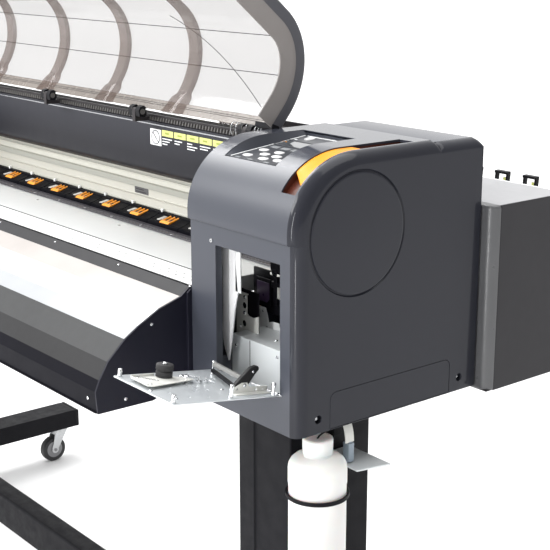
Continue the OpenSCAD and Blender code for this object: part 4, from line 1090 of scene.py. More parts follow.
def platen():
    y1 = mm_box("platen_front")[1].y
    strip = Shape().box((SPAN0 + 1, 4.5, PLATEN - 2), (SPAN1 - 1, y1 - 2, PLATEN))
    strip = strip.build("platen_front_strip", platen_white, slot="platen_white", replaces="platen_front")
    holes, under = Shape(), Shape()
    count = 64
    for i in range(count):
        x = SPAN0 + (i + 0.5) * (SPAN1 - SPAN0) / count
        for y, dx in ((24, 0), (38, 5)):
            holes.lathe([(2.5, -6), (2.5, 4)], (x + dx, y, PLATEN), "z", 0, 12)
            # Painted shade: a dark disc at the foot of each hole.
            under.lathe([(2.3, -3), (2.3, -0.4), (1.9, -0.25), (0.02, -0.25)], (x + dx, y, PLATEN), "z", 0,
                        12)
    cut(strip, holes)
    # Painted shade: a black sheet under the strip; the strips at the front and back edges are seals.
    under.box((SPAN0 + 1.5, 5, PLATEN - 4), (SPAN1 - 1.5, y1 - 2.5, PLATEN - 2.2))
    under.box((SPAN0 + 1, 0, 161), (SPAN1 - 1, 4.4, PLATEN - 0.2))
    under.box((SPAN0 + 1, y1 - 1.9, 158), (SPAN1 - 1, y1 + 2.9, PLATEN - 0.3))
    under.build("platen_seals_and_hole_shade", roller_black, slot="roller_black", bevel=0.4)
    rim = Shape().box((SPAN0 + 2, 5, 160.5), (SPAN1 - 2, y1 - 6, 162.5))
    rim.box((SPAN0 + 2, y1 - 5, 162), (SPAN1 - 2, y1 - 3, PLATEN - 4))
    rim.build("platen_front_sides", platen_white, slot="platen_white", bevel=0.3)
    rear = mm_box("platen_rear")
    deck = Shape().box((SPAN0 + 1, y1 + 3, PLATEN - 2), (SPAN1 - 1, rear[1].y, PLATEN))
    for y in (y1 + 3, rear[1].y - 2):
        deck.box((SPAN0 + 1, y, 150), (SPAN1 - 1, y + 2, PLATEN - 2))
    for i in range(15):
        x = SPAN0 + 4 + i * (SPAN1 - SPAN0 - 8) / 14
        deck.box((x - 1, y1 + 4, 154), (x + 1, rear[1].y - 2, PLATEN - 2))
    deck.build("platen_deck", platen_grey, slot="platen_grey", replaces="platen_rear", bevel=0.5)
    screws = Shape()
    for i in range(4):
        screws.lathe([(3.6, 0.02), (3.4, 0.6), (2.2, 0.9), (0.9, 0.9), (0.8, 0.3), (0.02, 0.3)],
                     (SPAN1 - 465 - i * 330, 154, PLATEN), "z", 0, 24)
    screws.build("platen_screws", chrome, slot="post_chrome")


APRON_FACE = [(0, 183), (-18, 169), (-60, 156), (-100, 135), (-126, 118), (-158.5, 87), (-175, 60),
              (-183, 42), (-180, 5)]


def apron():
    """Folded sheet whose flats run the width of the machine, each in its own tone: painted reflections on the
    warm, white and light flats, painted shade on the deep flat.
    """
    x0, x1 = SPAN0 + 3, SPAN1 - 9
    sheet = Shape()
    n = len(APRON_FACE)
    # Painted reflections on the warm, white and light flats, painted shade on the deep flat.
    looks = [apron_dark, apron_reflection_warm, apron_reflection_white, apron_reflection_light, apron_mid, apron_shade_deep, apron_lip, apron_lip]
    inner = []
    for i, (y, z) in enumerate(APRON_FACE):
        a = Vector(APRON_FACE[max(i - 1, 0)])
        b = Vector(APRON_FACE[min(i + 1, n - 1)])
        along = (b - a).normalized()
        inner.append((y - along.y * 2, z + along.x * 2))
    for i in range(n - 1):
        (ya, za), (yb, zb) = APRON_FACE[i], APRON_FACE[i + 1]
        (yc, zc), (yd, zd) = inner[i + 1], inner[i]
        sheet.loft([[(x, ya, za), (x, yb, zb), (x, yc, zc), (x, yd, zd)] for x in (x0, x1)], i)
    sheet.build("apron_sheet", looks, slot="apron_steel", replaces="front_apron", angle=5)
    hem = Shape()
    hem.box((x0, -180, 5), (x1, -168, 7))
    hem.tube([(x0 + 1, -181.5, 6.6), (x1 - 1, -181.5, 6.6)], 1.3)
    hem.build("apron_hem", apron_lip, slot="apron_steel", bevel=0.4)
    seam = Shape()
    y, z = -182.4, 40.4
    seam.box((x0, y - 0.4, z - 0.6), (x1, y + 1, z + 0.6))
    seam.build("apron_seam", shaft_steel, slot="apron_steel", bevel=0.2)
    screws = Shape()
    for i in range(5):
        x = x1 - 22 - i * (x1 - x0 - 44) / 4
        screws.lathe([(2.8, 0), (2.7, -1.2), (1.9, -1.8), (0.9, -1.9), (0.7, -1.3), (0.02, -1.3)],
                     (x, -181.8, 26), "y", 0, 24)
    for i in range(6):
        x = SPAN1 - 213 - i * 222
        screws.lathe([(2.6, -0.3), (2.5, 1), (1.8, 1.6), (0.9, 1.7), (0.7, 1.2), (0.02, 1.2)], (x, -5, 179.4),
                     "z", 0, 24)
    screws.build("apron_screws", chrome, slot="post_chrome")


def end_plates():
    plates = Shape()
    outline = APRON_FACE + [(-76, 4), (-4, 30)]
    for x0, x1 in ((SPAN1 - 9, SPAN1 - 5), (SPAN0 + 1, SPAN0 + 3)):
        plates.extrude(outline, "x", x0, x1)
    plates.build("apron_end_sheets", end_black, slot="apron_end", replaces="apron_end_plates", bevel=0.5)
    flange = Shape()
    for x0, x1 in ((SPAN1 - 9, SPAN1 - 0.6), (SPAN0 + 0.6, SPAN0 + 3)):
        flange.extrude([(-8, 30), (2, 30), (2, 182), (-3.4, 178), (-8, 174)], "x", x0, x1)
    flange.box((SPAN1 - 9, -2, 31), (SPAN1 - 0.6, 60, 34))
    flange.build("apron_end_flanges", end_black, slot="apron_end", bevel=0.6)
    screws = Shape()
    for y, z in ((-75.9, 133.6), (-129.1, 19.4)):
        screws.lathe([(3.0, 0), (2.9, 1), (2.0, 1.6), (0.9, 1.7), (0.8, 1.2), (0.02, 1.2)], (SPAN1 - 5, y, z),
                     "x", 0, 24)
    screws.lathe([(3.2, 0), (3, 1.4), (2.2, 2.2), (0.9, 2.3), (0.02, 2.2)], (SPAN1 - 5, 1, 183), "z", 0, 24)
    screws.build("apron_end_screws", chrome, slot="post_chrome")


platen()
apron()
end_plates()


# ---- pinch roller units ---------------------------------------------------------------------------
PITCH, UNITS = 107, 13
FEED_Y = 215
EAR_PITCH = 343
EARS = [SPAN1 - 78 - i * EAR_PITCH for i in range(4)] + [SPAN0 + 60]


def unit_x(i):
    return SPAN1 - (i + 0.5) * PITCH


def roller_bed():
    """Black trays between the forks, with a low bar in front and a web and a light tab at each division."""
    bed, bars = Shape(), Shape()
    side = [(200.4, 186.6), (236.2, 186.6), (236.2, 208), (233, 208), (204, 197.4), (200.4, 197.4)]
    edges = [SPAN1 - i * PITCH for i in range(UNITS + 1)] + [SPAN0]
    for right, left in zip(edges, edges[1:]):
        right, left = right - 0.8, left + 0.8
        if right - left > PITCH - 3:
            middle = (left + right) / 2
            bed.extrude(side, "x", left, middle - 16)
            bed.extrude(side, "x", middle + 16, right)
            bed.extrude([(230.5, 186.6), (236.2, 186.6), (236.2, 208), (233, 208), (230.5, 206)], "x",
                        middle - 16, middle + 16)
            bed.extrude([(196.4, 186.6), (202, 186.6), (202, 192), (196.4, 192)], "x", middle - 16,
                        middle + 16)
        else:
            bed.extrude(side, "x", left, right)
        bed.extrude([(196.2, 187), (200.4, 187), (200.4, 197.4), (196.2, 195.6)], "x", left, right)
        bars.extrude([(177, 185.4), (183.6, 185.4), (183.6, 187.6), (178.4, 187.2)], "x", left, right)
        bars.extrude([(185, 185.4), (195.8, 185.4), (195.8, 189.2), (186, 188.2)], "x", left, right)
    bed.build("roller_bed", roller_black, slot="roller_black", replaces="roller_housings", bevel=0.5,
              segments=2)
    bars.build("roller_front_bars", bar_grey, slot="roller_black", bevel=0.4, segments=2)
    tabs = Shape()
    for x in edges[1:-1]:
        tabs.box((x - 3, 231, 206), (x + 3, 236.3, 213))
        tabs.box((x - 1.4, 179, 185.3), (x + 1.4, 184.6, 187.4))
    tabs.build("roller_tabs", white_paint, slot="platen_white", bevel=0.4)


def pinch_forks():
    """An orange fork over each pair of pinch wheels, on one shaft, with a pale painted highlight on its left
    edge.
    """
    forks, fork_highlights, links = Shape(), Shape(), Shape()
    for i in range(UNITS):
        c = unit_x(i)
        forks.extrude([(199.0, 193), (203, 191.6), (207.6, 194), (207.6, 201), (203.4, 200.8), (199.4, 198)],
                      "x", c - 15, c + 15)
        for x0, x1 in ((-15, -10.6), (-2.2, 2.2), (10.6, 15)):
            forks.extrude([(207, 195.5), (219, 197.5), (229, 201), (230, 205), (227, 206.6), (207, 200.8)],
                          "x", c + x0, c + x1)
        links.box((c - 13.5, 224, 196), (c + 13.5, 229, 200.4))
        # Painted highlight: pale strips along the top left of each fork.
        fork_highlights.extrude([(200, 200.6), (219, 203.6), (219, 205), (200, 202)], "x", c - 25, c - 15.5)
        fork_highlights.box((c - 16.5, 206, 196), (c - 14.5, 216, 203))
    forks.build("pinch_forks", orange, "pinch_arms", slot="arm_orange", replaces="pinch_arms", bevel=0.8,
                segments=2)
    fork_highlights.build("pinch_fork_highlights", fork_highlight_pale, "pinch_arms", slot="arm_orange", bevel=0.3, segments=2)
    links.build("pinch_links", black_plastic, "pinch_arms", slot="arm_orange", bevel=0.5, segments=2)
    shaft = Shape().lathe([(2.2, 0), (2.6, 0.4), (2.6, SPAN1 - SPAN0 - 1.4), (2.2, SPAN1 - SPAN0 - 1)],
                          (SPAN0 + 0.5, 228, 205), "x", 0, 24)
    shaft.build("pinch_shaft", roller_black, "pinch_arms", slot="shaft_steel")
    wheels = Shape()
    radius = 9
    for i in range(UNITS):
        centre = (unit_x(i), FEED_Y, PLATEN + radius + 0.2)
        profile = [(2, -16.5), (2, -9)]
        for x in (-9, 3.2):
            profile += [(7.8, x), (8.8, x + 0.4), (radius, x + 1), (radius, x + 2.4), (radius - 0.6, x + 2.6),
                        (radius - 0.6, x + 3.2),
                        (radius, x + 3.4), (radius, x + 4.8), (8.8, x + 5.4), (7.8, x + 5.8), (2, x + 5.8),
                        (2, x + 6)]
        wheels.lathe(profile + [(2, 16.5)], centre, "x", 0, 36)
    wheels.build("pinch_wheels", rubber_dark, "pinch_rollers", slot="roller_rubber", replaces="pinch_rollers")


roller_bed()
pinch_forks()


# ---- rail, beam cover and channel -------------------------------------------------------------------
def tint(obj, rule):
    """Sets each face's material slot from its centre, in millimetres in the head frame."""
    origin = world((0, 0, 0))
    for face in obj.data.polygons:
        face.material_index = rule((face.center - origin) / MM)


def rail_and_beam():
    x0, x1 = mm_box("guide_rail")[0].x, mm_box("guide_rail")[1].x
    face = [(237, 200.2), (236.6, 205), (236.6, 210), (238.2, 211.4), (238.6, 213), (238.6, 225),
            (236.9, 226.6), (239.6, 228), (240, 229),
            (240, 243), (234.2, 244.4), (234.2, 255.6), (240, 257), (240, 267), (236.9, 268.6),
            (236.9, 270.4), (238.6, 271), (238.6, 275),
            (236.9, 275.6), (236.9, 277.4), (238.6, 278), (238.6, 280.4), (236.9, 281), (243.2, 281.4),
            (243.2, 392), (330, 392), (330, 200.2)]
    rail = Shape().extrude(face, "x", x0, x1)
    rail = rail.build("guide_rail_extrusion", [rail_alu, rail_shade], slot="rail_aluminium",
                      replaces="guide_rail", angle=20)
    # Painted shade: the proud rib and two narrow recessed bands take the darker rail_shade.
    tint(rail, lambda c: 1 if 243 < c.z < 256.5 or 270.5 < c.z < 275.2 or 277.6 < c.z < 280.8 else 0)
    round_edges(rail, 0.3, 2)
    tag = Shape().extrude(rounded((-806, 229.4), (-756, 242.4), 1), "y", 239.4, 239.9)
    tag.build("rail_tag", panel_tag, slot="panel_dark", bevel=0.1)
    marks = Shape()
    for k in range(2):
        marks.box((-801, 239.2, 232 + 5 * k), (-764 - 9 * k, 239.6, 234 + 5 * k))
    marks.build("rail_tag_bars", channel_dark, slot="panel_dark")
    top = mm_box("beam_cover")[1].z
    lower = arc(226, 304, 19, 268, 180, 10, 19.5)
    face = [(237, 282.2)] + lower + [(205.8, 318), (205.2, 332), (205.0, 342), (205.0, top - 3),
                                     (206, top - 1), (208, top)]
    back = [(242, top), (242, top - 3), (211, top - 3), (208.6, top - 6), (208.6, 336),
            (210, 306)] + arc(227, 304, 16, 185, 266, 8, 16.5) + [
        (237, 285)]
    cover = Shape().extrude(face + back, "x", SPAN0 + 2, SPAN1 - 2)
    cover = cover.build("beam_cover_shell", [beam_black, roller_black], slot="beam_black",
                        replaces="beam_cover")
    # Painted shade: the lowest faces of the lower curve take the near-black roller_black; the top lip is
    # black too.
    tint(cover, lambda c: 1 if c.z < 287 or c.z > top - 4 else 0)
    round_edges(cover, 0.4, 2)
    # Painted highlight: a thin light steel strip along the beam cover's top front edge.
    trim = Shape().box((SPAN0 + 3, 204.2, top - 9.5), (SPAN1 - 3, 205.4, top - 7.2))
    trim.build("beam_edge_painted_highlight", shaft_steel, slot="beam_black", bevel=0.3)
    seal = Shape().box((SPAN0 + 3, 222, 283.4), (SPAN1 - 3, 236.6, 285))
    seal.box((SPAN0 + 3, 228, 281.8), (SPAN1 - 3, 236.4, 283.6))
    seal.build("beam_lower_seal", seal_brown, slot="beam_black", bevel=0.4)


def pictograms():
    """Blank sticker with a barred-circle sign and five coloured cards, each over a few plain bars."""
    y = 205.0
    sign = Shape().extrude(rounded((-690, 346), (-653, 377), 1.5), "y", y - 0.5, y)
    sign.build("sticker_sign_card", white_paint, slot="key_white")
    ring = Shape()
    cx, cz = -671.5, 361.5
    ring.loft([[(cx + r * math.cos(a), y - d, cz + 0.95 * r * math.sin(a)) for r,
                d in ((14.5, 0.4), (14.5, 0.9), (12.6, 0.9), (12.6, 0.4))]
               for a in turns(48)], closed=True)
    ring.loft([[(cx + sx * 8.6 + nx, y - d, cz + sz * 8.6 + nz) for nx, nz,
                d in ((-0.8, -0.8, 0.4), (0.8, 0.8, 0.4), (0.8, 0.8, 0.9), (-0.8, -0.8, 0.9))]
               for sx, sz in ((-1, 1), (1, -1))])
    ring.build("sticker_sign", panel_dark, slot="panel_dark")
    cards, bars, dots = Shape(), Shape(), Shape()
    for k in range(5):
        a = -650 + k * 41
        cards.extrude(rounded((a, 366.5), (a + 37.5, 378), 0.8), "y", y - 0.5, y)
        dots.box((a + 11, y - 0.8, 370.4), (a + 24 + k % 3, y - 0.4, 374))
        for row in range(3 - k % 2):
            bars.box((a + 1, y - 0.4, 360.4 - 5 * row), (a + 33 - 8 * ((k + row) % 3), y, 362.2 - 5 * row))
    cards.build("sticker_cards", sticker_yellow, slot="key_white")
    dots.build("sticker_marks", sticker_shade, slot="key_white")
    bars.build("sticker_bars", white_paint, slot="key_white")


def channel():
    """Dark channel along the top of the beam, ribbed in front, with the ears of the hood's hinge."""
    top = mm_box("beam_cover")[1].z
    shape = Shape()
    shape.extrude([(200, top), (330, top), (330, top + 14), (326, top + 14), (326, top + 4), (204, top + 4),
                   (204, top + 12), (200, top + 12)],
                  "x", SPAN0 + 2, SPAN1 - 2)
    for y in (216, 232, 248):
        shape.box((SPAN0 + 3, y, top + 3.8), (SPAN1 - 3, y + 2, top + 11))
    for x in EARS:
        shape.extrude([(164.5, top),
                       (164.5, 415)] + arc(170, 415, 5.6, 180, 0, 8) + [(177, 403), (206, 400), (206, top)],
                      "x", x, x + 10)
    shape.build("top_channel_moulding", channel_dark, slot="channel_dark", replaces="top_channel", bevel=0.6,
                segments=2)
    ribs = Shape()
    count = 160
    for i in range(count):
        x = SPAN0 + 4 + i * (SPAN1 - SPAN0 - 8) / count
        ribs.extrude([(196.5, top + 1), (200.4, top + 1), (200.4, top + 8), (198.4, top + 8)], "x", x,
                     x + 3.4)
    ribs.build("top_channel_ribs", rib_grey, slot="channel_dark")


rail_and_beam()
pictograms()
channel()

# ---- hood -------------------------------------------------------------------------------------------
HOOD_Y, HOOD_Z, HOOD_LOW = 170, 415, 205
HOOD_OPEN = math.radians(-130)
HOOD0, HOOD1, CAP_W = SPAN0 + 2, SPAN1 - 2, 30


def opened(p):
    """The hood is described closed; this turns a point back about the hinge line."""
    x, y, z = p
    dy, dz = y - HOOD_Y, z - HOOD_Z
    c, s = math.cos(HOOD_OPEN), math.sin(HOOD_OPEN)
    return (x, HOOD_Y + dy * c - dz * s, HOOD_Z + dy * s + dz * c)


def hood_line(inset, n=36):
    """The hood's section, from its rear edge over the curve to its lower edge."""
    pts = [(HOOD_Y - 8, HEAD_H - inset), (HOOD_Y - 20, HEAD_H - inset)] + curve(inset=inset, n=n)[::-1]
    return pts + [(-LIP + inset, CURVE_Z - 50), (-LIP + inset, HOOD_LOW)]


def along_hood(shape, ring, slot=0):
    """A section given as (x, inset) points, drawn along the hood's line; x may be a function of the step."""
    lines = [hood_line(inset) for _, inset in ring]
    rings = []
    for k in range(len(lines[0])):
        rings.append([(x(k) if callable(x) else x, *line[k]) for (x, _), line in zip(ring, lines)])
    return shape.loft(rings, slot)


def hood_piece(shape, name, mats, **options):
    return shape.moved(opened).build(name, mats, "hood", **options)


def hood():
    a, b = HOOD0 + CAP_W, HOOD1 - CAP_W
    shell = along_hood(Shape(), [(a, 0), (b, 0), (b, 2.6), (a, 2.6)])
    hood_piece(shell, "hood_shell_skin", hood_smoke, slot="hood_smoke", replaces="hood_shell")
    ribs = Shape()
    for i in range(5):
        c = SPAN1 - 311 - 240 * i
        left = lambda k, c=c: c - 20 - 26 * max(0.0, 1 - k / 4)
        right = lambda k, c=c: c + 20 + 18 * max(0.0, 1 - k / 4)
        inner_l, inner_r = (lambda k, c=c: c - 14), (lambda k, c=c: c + 14)
        along_hood(ribs, [(left, 2.7), (right, 2.7), (inner_r, 9), (inner_l, 9)])
    hood_piece(ribs, "hood_ribs", hood_rib, slot="hood_smoke", angle=25)
    creases = Shape()
    for y, inset in ((HOOD_Y - 23, 3.4), (HOOD_Y - 26.5, 3.4)):
        creases.tube([(a + 2, y, HEAD_H - inset), (b - 2, y, HEAD_H - inset)], 0.7, 0, 8)
    low = hood_line(3.6)
    creases.tube([(SPAN1 - 80 - 10 * k, *low[k + 3]) for k in range(30)], 0.6, 0, 8)
    creases.box((a, -LIP + 2.8, HOOD_LOW), (b, 7, HOOD_LOW + 2.4))
    for k in (14, 27):
        creases.tube([(a + 2, *low[k]), (b - 2, *low[k])], 0.7, 0, 8)
    hood_piece(creases, "hood_creases", hood_edge, slot="hood_smoke")
    pale = Shape().box((a + 1, HOOD_Y - 33, HEAD_H - 3.8), (b - 1, HOOD_Y - 10.4, HEAD_H - 2.8))
    hood_piece(pale, "hood_pale_strip", hood_pale, slot="hood_smoke", bevel=0.3)
    # Painted highlight: a white strip along the hood's rear edge, ending short of the right end.
    edge = Shape().box((a + 2, HOOD_Y - 10, HEAD_H - 5.4), (b - 132, HOOD_Y - 7.4, HEAD_H - 2.4))
    hood_piece(edge, "hood_painted_highlight_edge", white_band, slot="hood_smoke", bevel=0.6)
    for side in (1, -1):
        end = HOOD1 if side > 0 else HOOD0
        inner = end - side * CAP_W
        plate = along_hood(Shape(),
                           [(end, 20.5), (end, 54), (end - side * 2.6, 54), (end - side * 2.6, 20.5)])
        band = along_hood(Shape(), [(inner, 0), (end - side * 2, 0), (end, 2), (end, 20.8),
                                    (end - side * 3, 20.8), (end - side * 3, 3), (inner, 3)])
        name = "right" if side > 0 else "left"
        hood_piece(plate, "hood_cap_plate_" + name, cap_light, slot="hood_cap_grey")
        hood_piece(band, "hood_cap_band_" + name, cap_dark, slot="hood_cap_grey", replaces="hood_end_caps"
                   if side > 0 else ())
        lo, hi = sorted((inner - side * 16, end + side * 0.5))
        foot = Shape().extrude([(HOOD_Y - 7, HEAD_H - 1.5), (HOOD_Y - 15, HEAD_H - 0.4),
                                (HOOD_Y - 19, HEAD_H - 8),
                                (HOOD_Y - 14, HEAD_H - 22), (HOOD_Y - 7, HEAD_H - 18)], "x", lo, hi)
        hood_piece(foot, "hood_cap_foot_" + name, black_plastic, slot="channel_dark", bevel=1.0)


def hood_hinge():
    """Black knuckle blocks with a round boss beside each ear, and a row of wire springs."""
    blocks, rims = Shape(), Shape()
    for x in EARS:
        for x0, x1 in ((x - 14, x - 0.5), (x + 10.5, x + 24)):
            blocks.extrude([(166, 404), (178, 402), (182, 408), (182, 420), (176, 425), (168, 423),
                            (164, 416)], "x", x0, x1)
        blocks.lathe([(3, -8), (3, 18)], (x, HOOD_Y, HOOD_Z), "x", 0, 24)
        rims.lathe([(5.4, 0), (5.4, 0.7), (4.2, 0.9), (4.2, 0.2), (0.02, 0.2)], (x + 24, 172.5, 413.5), "x",
                   0, 32)
        rims.extrude([(165.4, 405), (166.4, 405), (165.2, 422), (164.2, 420)], "x", x - 1.6, x - 0.6)
    blocks.build("hood_knuckles", black_plastic, "hood", slot="channel_dark", bevel=1.1)
    rims.build("hood_knuckle_rims", rib_grey, "hood", slot="channel_dark", bevel=0.2, segments=2)
    springs = Shape()
    for d in (118, 105, 92, 79, 66, 53, 44, 36):
        x = SPAN1 - d
        springs.tube([(x, 173, 403), (x, 171, 410), (x + 0.5, 172, 419), (x + 2, 176, 424),
                      (x + 3.5, 181, 423), (x + 4, 183, 418)], 0.8, 0, 8)
    backing = Shape().extrude([(185, 402), (190, 402), (190, 424), (187, 425), (185, 423)], "x", SPAN1 - 102,
                              SPAN1 - 30)
    backing.build("spring_backing", black_plastic, slot="channel_dark", bevel=0.6)
    springs.build("hood_springs", shaft_steel, "hood", slot="shaft_steel")


hood()
hood_hinge()


# ---- left housing -------------------------------------------------------------------------------
LEVER_X, LEVER_Y, LEVER_Z = mm_box("loading_lever")[0].x + 20, 30, 245


def left_cover():
    """One shell over the curve and down the back, with a seam, a notch and the lever's slot."""
    x0 = LEFT + SIDE_W
    top = HEAD_H - REAR_DROP
    outer = [(0, 0), (0, SEAM - 1), (1.4, SEAM - 0.6), (1.4, SEAM + 0.4), (-LIP + 0.6, SEAM + 1.4),
             (-LIP, SEAM + 3.4)] + curve()
    outer += [(NOTCH - 1, HEAD_H), (NOTCH, HEAD_H - 2), (NOTCH, top - 3), (NOTCH + 2, top - 3),
              (NOTCH + 3, top)]
    outer += arc(HEAD_D - 14, top - 14, 14, 90, 0, 8) + [(HEAD_D, 0)]
    inner = [(HEAD_D - WALL, 0)] + arc(HEAD_D - 14, top - 14, 11, 0, 90, 8) + [(NOTCH, top - 6)]
    inner += curve(inset=WALL)[::-1] + [(WALL - LIP, SEAM + 4), (WALL, SEAM + 2), (WALL, 0)]
    cover = Shape().extrude(outer + inner, "x", x0, SPAN0).build(
        "left_cover_shell", cover_grey, slot="cover_grey", replaces="left_cover")
    cut(cover, Shape().extrude(rounded((LEVER_X - 9, 190), (LEVER_X + 9, 293), 4, 4), "y", -8, WALL + 2))
    round_edges(cover, 0.7, 2)
    inner_wall("left_inner_wall", SPAN0 - 3.5, SPAN0 - 0.5)
    rim = Shape()
    for a, b in (((-11, 187), (-9, 296)), ((9, 187), (11, 296))):
        rim.box((LEVER_X + a[0], -1.2, a[1]), (LEVER_X + b[0], WALL - 1, b[1]))
    for z in (187, 294):
        rim.box((LEVER_X - 10, -1.2, z), (LEVER_X + 10, WALL - 1, z + 2))
    for s in (-1, 1):
        rim.extrude([(2, LEVER_Z - 9), (LEVER_Y + 6, LEVER_Z - 9), (LEVER_Y + 10, LEVER_Z),
                     (LEVER_Y + 6, LEVER_Z + 9), (2, LEVER_Z + 9)],
                    "x", LEVER_X + s * 14 - 2.5, LEVER_X + s * 14 + 2.5)
    rim.build("lever_slot_rim", black_plastic, slot="roller_black", bevel=0.6)
    lever = Shape()
    side = [(LEVER_Y + 6, LEVER_Z - 7), (LEVER_Y + 8, LEVER_Z + 5),
            (-18, 277)] + arc(-46, 286, 6, 60, 260, 8) + [(-20, 263)]
    lever.extrude(side, "x", LEVER_X - 6.5, LEVER_X + 6.5)
    for k in range(4):
        y = -26 - 5 * k
        lever.box((LEVER_X - 6.8, y, 268 - 0.5 * (y + 20)), (LEVER_X + 6.8, y + 1.6, 279.5 - 0.52 * (y + 20)))
    lever.lathe([(3.4, -20), (4, -19), (4, 19), (3.4, 20)], (LEVER_X, LEVER_Y, LEVER_Z), "x", 0, 32)
    lever.build("loading_lever_moulding", black_rubber, "loading_lever", slot="pad_black",
                replaces="loading_lever", bevel=1.2)


def back_details():
    """Power inlet, rocker switch and vents at the back of the left housing."""
    x0 = LEFT + SIDE_W + 40
    bits = Shape()
    for a, b in (((0, 60), (52, 63)), ((0, 95), (52, 98)), ((0, 60), (3, 98)), ((49, 60), (52, 98)),
                 ((24, 60), (27, 98))):
        bits.box((x0 + a[0], HEAD_D - 1, a[1]), (x0 + b[0], HEAD_D + 2, b[1]))
    bits.box((x0 + 3, HEAD_D - 1, 62), (x0 + 49, HEAD_D + 0.4, 96))
    for dx, z in ((9, 72), (18, 72), (13.5, 84)):
        bits.box((x0 + dx - 1, HEAD_D, z - 3), (x0 + dx + 1, HEAD_D + 1.6, z + 3))
    bits.extrude([(HEAD_D, 66), (HEAD_D + 3.4, 66), (HEAD_D + 1.2, 79), (HEAD_D + 1.8, 92), (HEAD_D, 92)],
                 "x", x0 + 30, x0 + 46)
    for i in range(12):
        bits.box((x0 + 70, HEAD_D - 0.5, 60 + i * 10), (x0 + 170, HEAD_D + 0.4, 64 + i * 10))
    bits.build("power_inlet", black_plastic, slot="roller_black", bevel=0.4)
    screws = Shape()
    for x in (LEFT + SIDE_W + 12, SPAN0 - 14, SPAN1 + 16, -SIDE_W - 14):
        for z in (150, 380):
            screws.lathe([(3.2, 0), (3.1, 1), (2.2, 1.7), (0.9, 1.8), (0.8, 1.1), (0.02, 1.1)],
                         (x, HEAD_D, z), "y", 0, 24)
    screws.build("back_screws", zinc, slot="caster_steel")


left_cover()
back_details()


# ---- ink box and cartridges -----------------------------------------------------------------------
COLUMN = 17


def ink_box():
    """Pale lid, its pale grey a painted reflection of the bright sky, on dark walls, with a rounded column at
    the front corner and an opening for each cartridge.
    """
    (x0, y0, z0), (x1, y1, z1) = mm_box("ink_box")
    walls = Shape()
    walls.box((x1 - 4, y0 + COLUMN + 0.5, z0), (x1, y1, z1))
    walls.box((x0, y0, z0), (x1 - COLUMN - 26, y0 + 3, z1))
    walls.box((x0, y0 + 2.5, z0), (x0 + 3, y1, z1))
    walls.box((x0 + 2, y0 + 2, z0), (x1 - 2, y1 - 1, z0 + 3))
    walls.build("ink_box_walls", ink_side, slot="ink_box_grey", replaces="ink_box", bevel=2.0, segments=4)
    back = Shape().box((x0 + 2.5, y1 - 3, z0 + 1),
                       (x1 - 3, y1 - 0.2, z1 - 1)).build("ink_box_back", ink_side, slot="ink_box_grey")
    for i in range(4):
        (a0, _, c0), (a1, _, c1) = mm_box("ink_cartridge_%d" % (i + 1))
        cut(back, Shape().extrude(rounded((a0 - 0.6, c0 - 0.6), (a1 + 0.6, c1 + 0.6), 2, 3), "y", y1 - 8,
                                  y1 + 4))
    round_edges(back, 0.6, 2)
    cx, cy = x1 - COLUMN, y0 + COLUMN
    column = Shape()
    rings = []
    for k in range(9):
        t = math.pi / 2 * k / 8
        inset = 6 * (1 - math.sin(t))
        rings.append((z0 + 6 * (1 - math.cos(t)), inset))
    rings = rings + [(z1 - (z - z0), inset) for z, inset in rings[::-1]]
    column.loft([[(cx - 25.5, cy, z), (cx - 25.5, y0 + inset,
                                       z)] + [(x, y, z) for x, y in arc(cx, cy, COLUMN - inset, -90, 0, 14)]
                 for z, inset in rings])
    column.build("ink_box_column", ink_corner, slot="ink_box_grey")
    lid = Shape().extrude([(x0 + 3, y0 + 3), (cx - 26, y0 + 3), (cx - 26, cy + 1), (x1 - 4, cy + 1),
                           (x1 - 4, y1 - 0.6), (x0 + 3, y1 - 0.6)],
                          "z", z1 - 3, z1 - 0.3)
    # Painted reflection: the lid is pale grey for the bright sky it reflects.
    lid.build("ink_box_lid", ink_lid_painted_reflection, slot="cartridge_white", bevel=0.8)
    ledge = Shape().box((x0 + 4, y1 - 6, z1 - 0.6), (x1 - 6, y1 - 1, z1 - 0.02))
    ledge.box((x0 + 4, y0 + 6, z1 - 0.6), (x0 + 9, y1 - 4, z1 - 0.02))
    ledge.build("ink_box_lid_rim", white_paint, slot="cartridge_white", bevel=0.2)


def cartridge(i):
    """Rounded case with a stepped end, finger grips, a blank label and a black latch."""
    name = "ink_cartridge_%d" % i
    (x0, y0, z0), (x1, y1, z1) = mm_box(name)
    case = Shape().extrude(rounded((x0, z0), (x1, z1), 3, 4), "y", y0, y1 - 5)
    case.extrude(rounded((x0 + 4, z0 + 8), (x1 - 4, z1 - 8), 3, 4), "y", y1 - 5.5, y1)
    for k in range(5):
        case.box((x0 + 8, y1 - 14 - 5 * k, z1 - 1), (x1 - 8, y1 - 12 - 5 * k, z1 + 0.8))
    case.build(name + "_case", cartridge_white, name, slot="cartridge_white", replaces=name, bevel=1.0)
    label = Shape().extrude(rounded((x0 + 7, z0 + 20), (x1 - 7, z1 - 26), 2, 3), "y", y1 - 0.4, y1 + 0.3)
    label.build(name + "_label", panel_tile, name, slot="cartridge_white", bevel=0.1)
    latch = Shape().box((x0 + 9, y1 - 12, z1 + 16), (x1 - 1, y1 - 1, z1 + 21))
    for x in (x0 + 9, x1 - 5):
        latch.extrude([(y1 - 12, z1 - 1), (y1 - 3, z1 - 1), (y1 - 1, z1 + 17), (y1 - 10, z1 + 17)], "x", x,
                      x + 4)
    latch.build(name + "_latch", black_plastic, name, slot="pad_black", bevel=0.8)
    mark = Shape().extrude(rounded((x1 - 13, z1 + 1), (x1 - 5.5, z1 + 10), 1, 3), "y", y1 - 8, y1 - 6.4)
    mark.build(name + "_mark", sticker_yellow, name, slot="cartridge_white", bevel=0.1)


ink_box()
for index in range(4):
    cartridge(index + 1)


# ---- bottle and its holder ----------------------------------------------------------------------------
BOTTLE_X, BOTTLE_Y = -27, 63


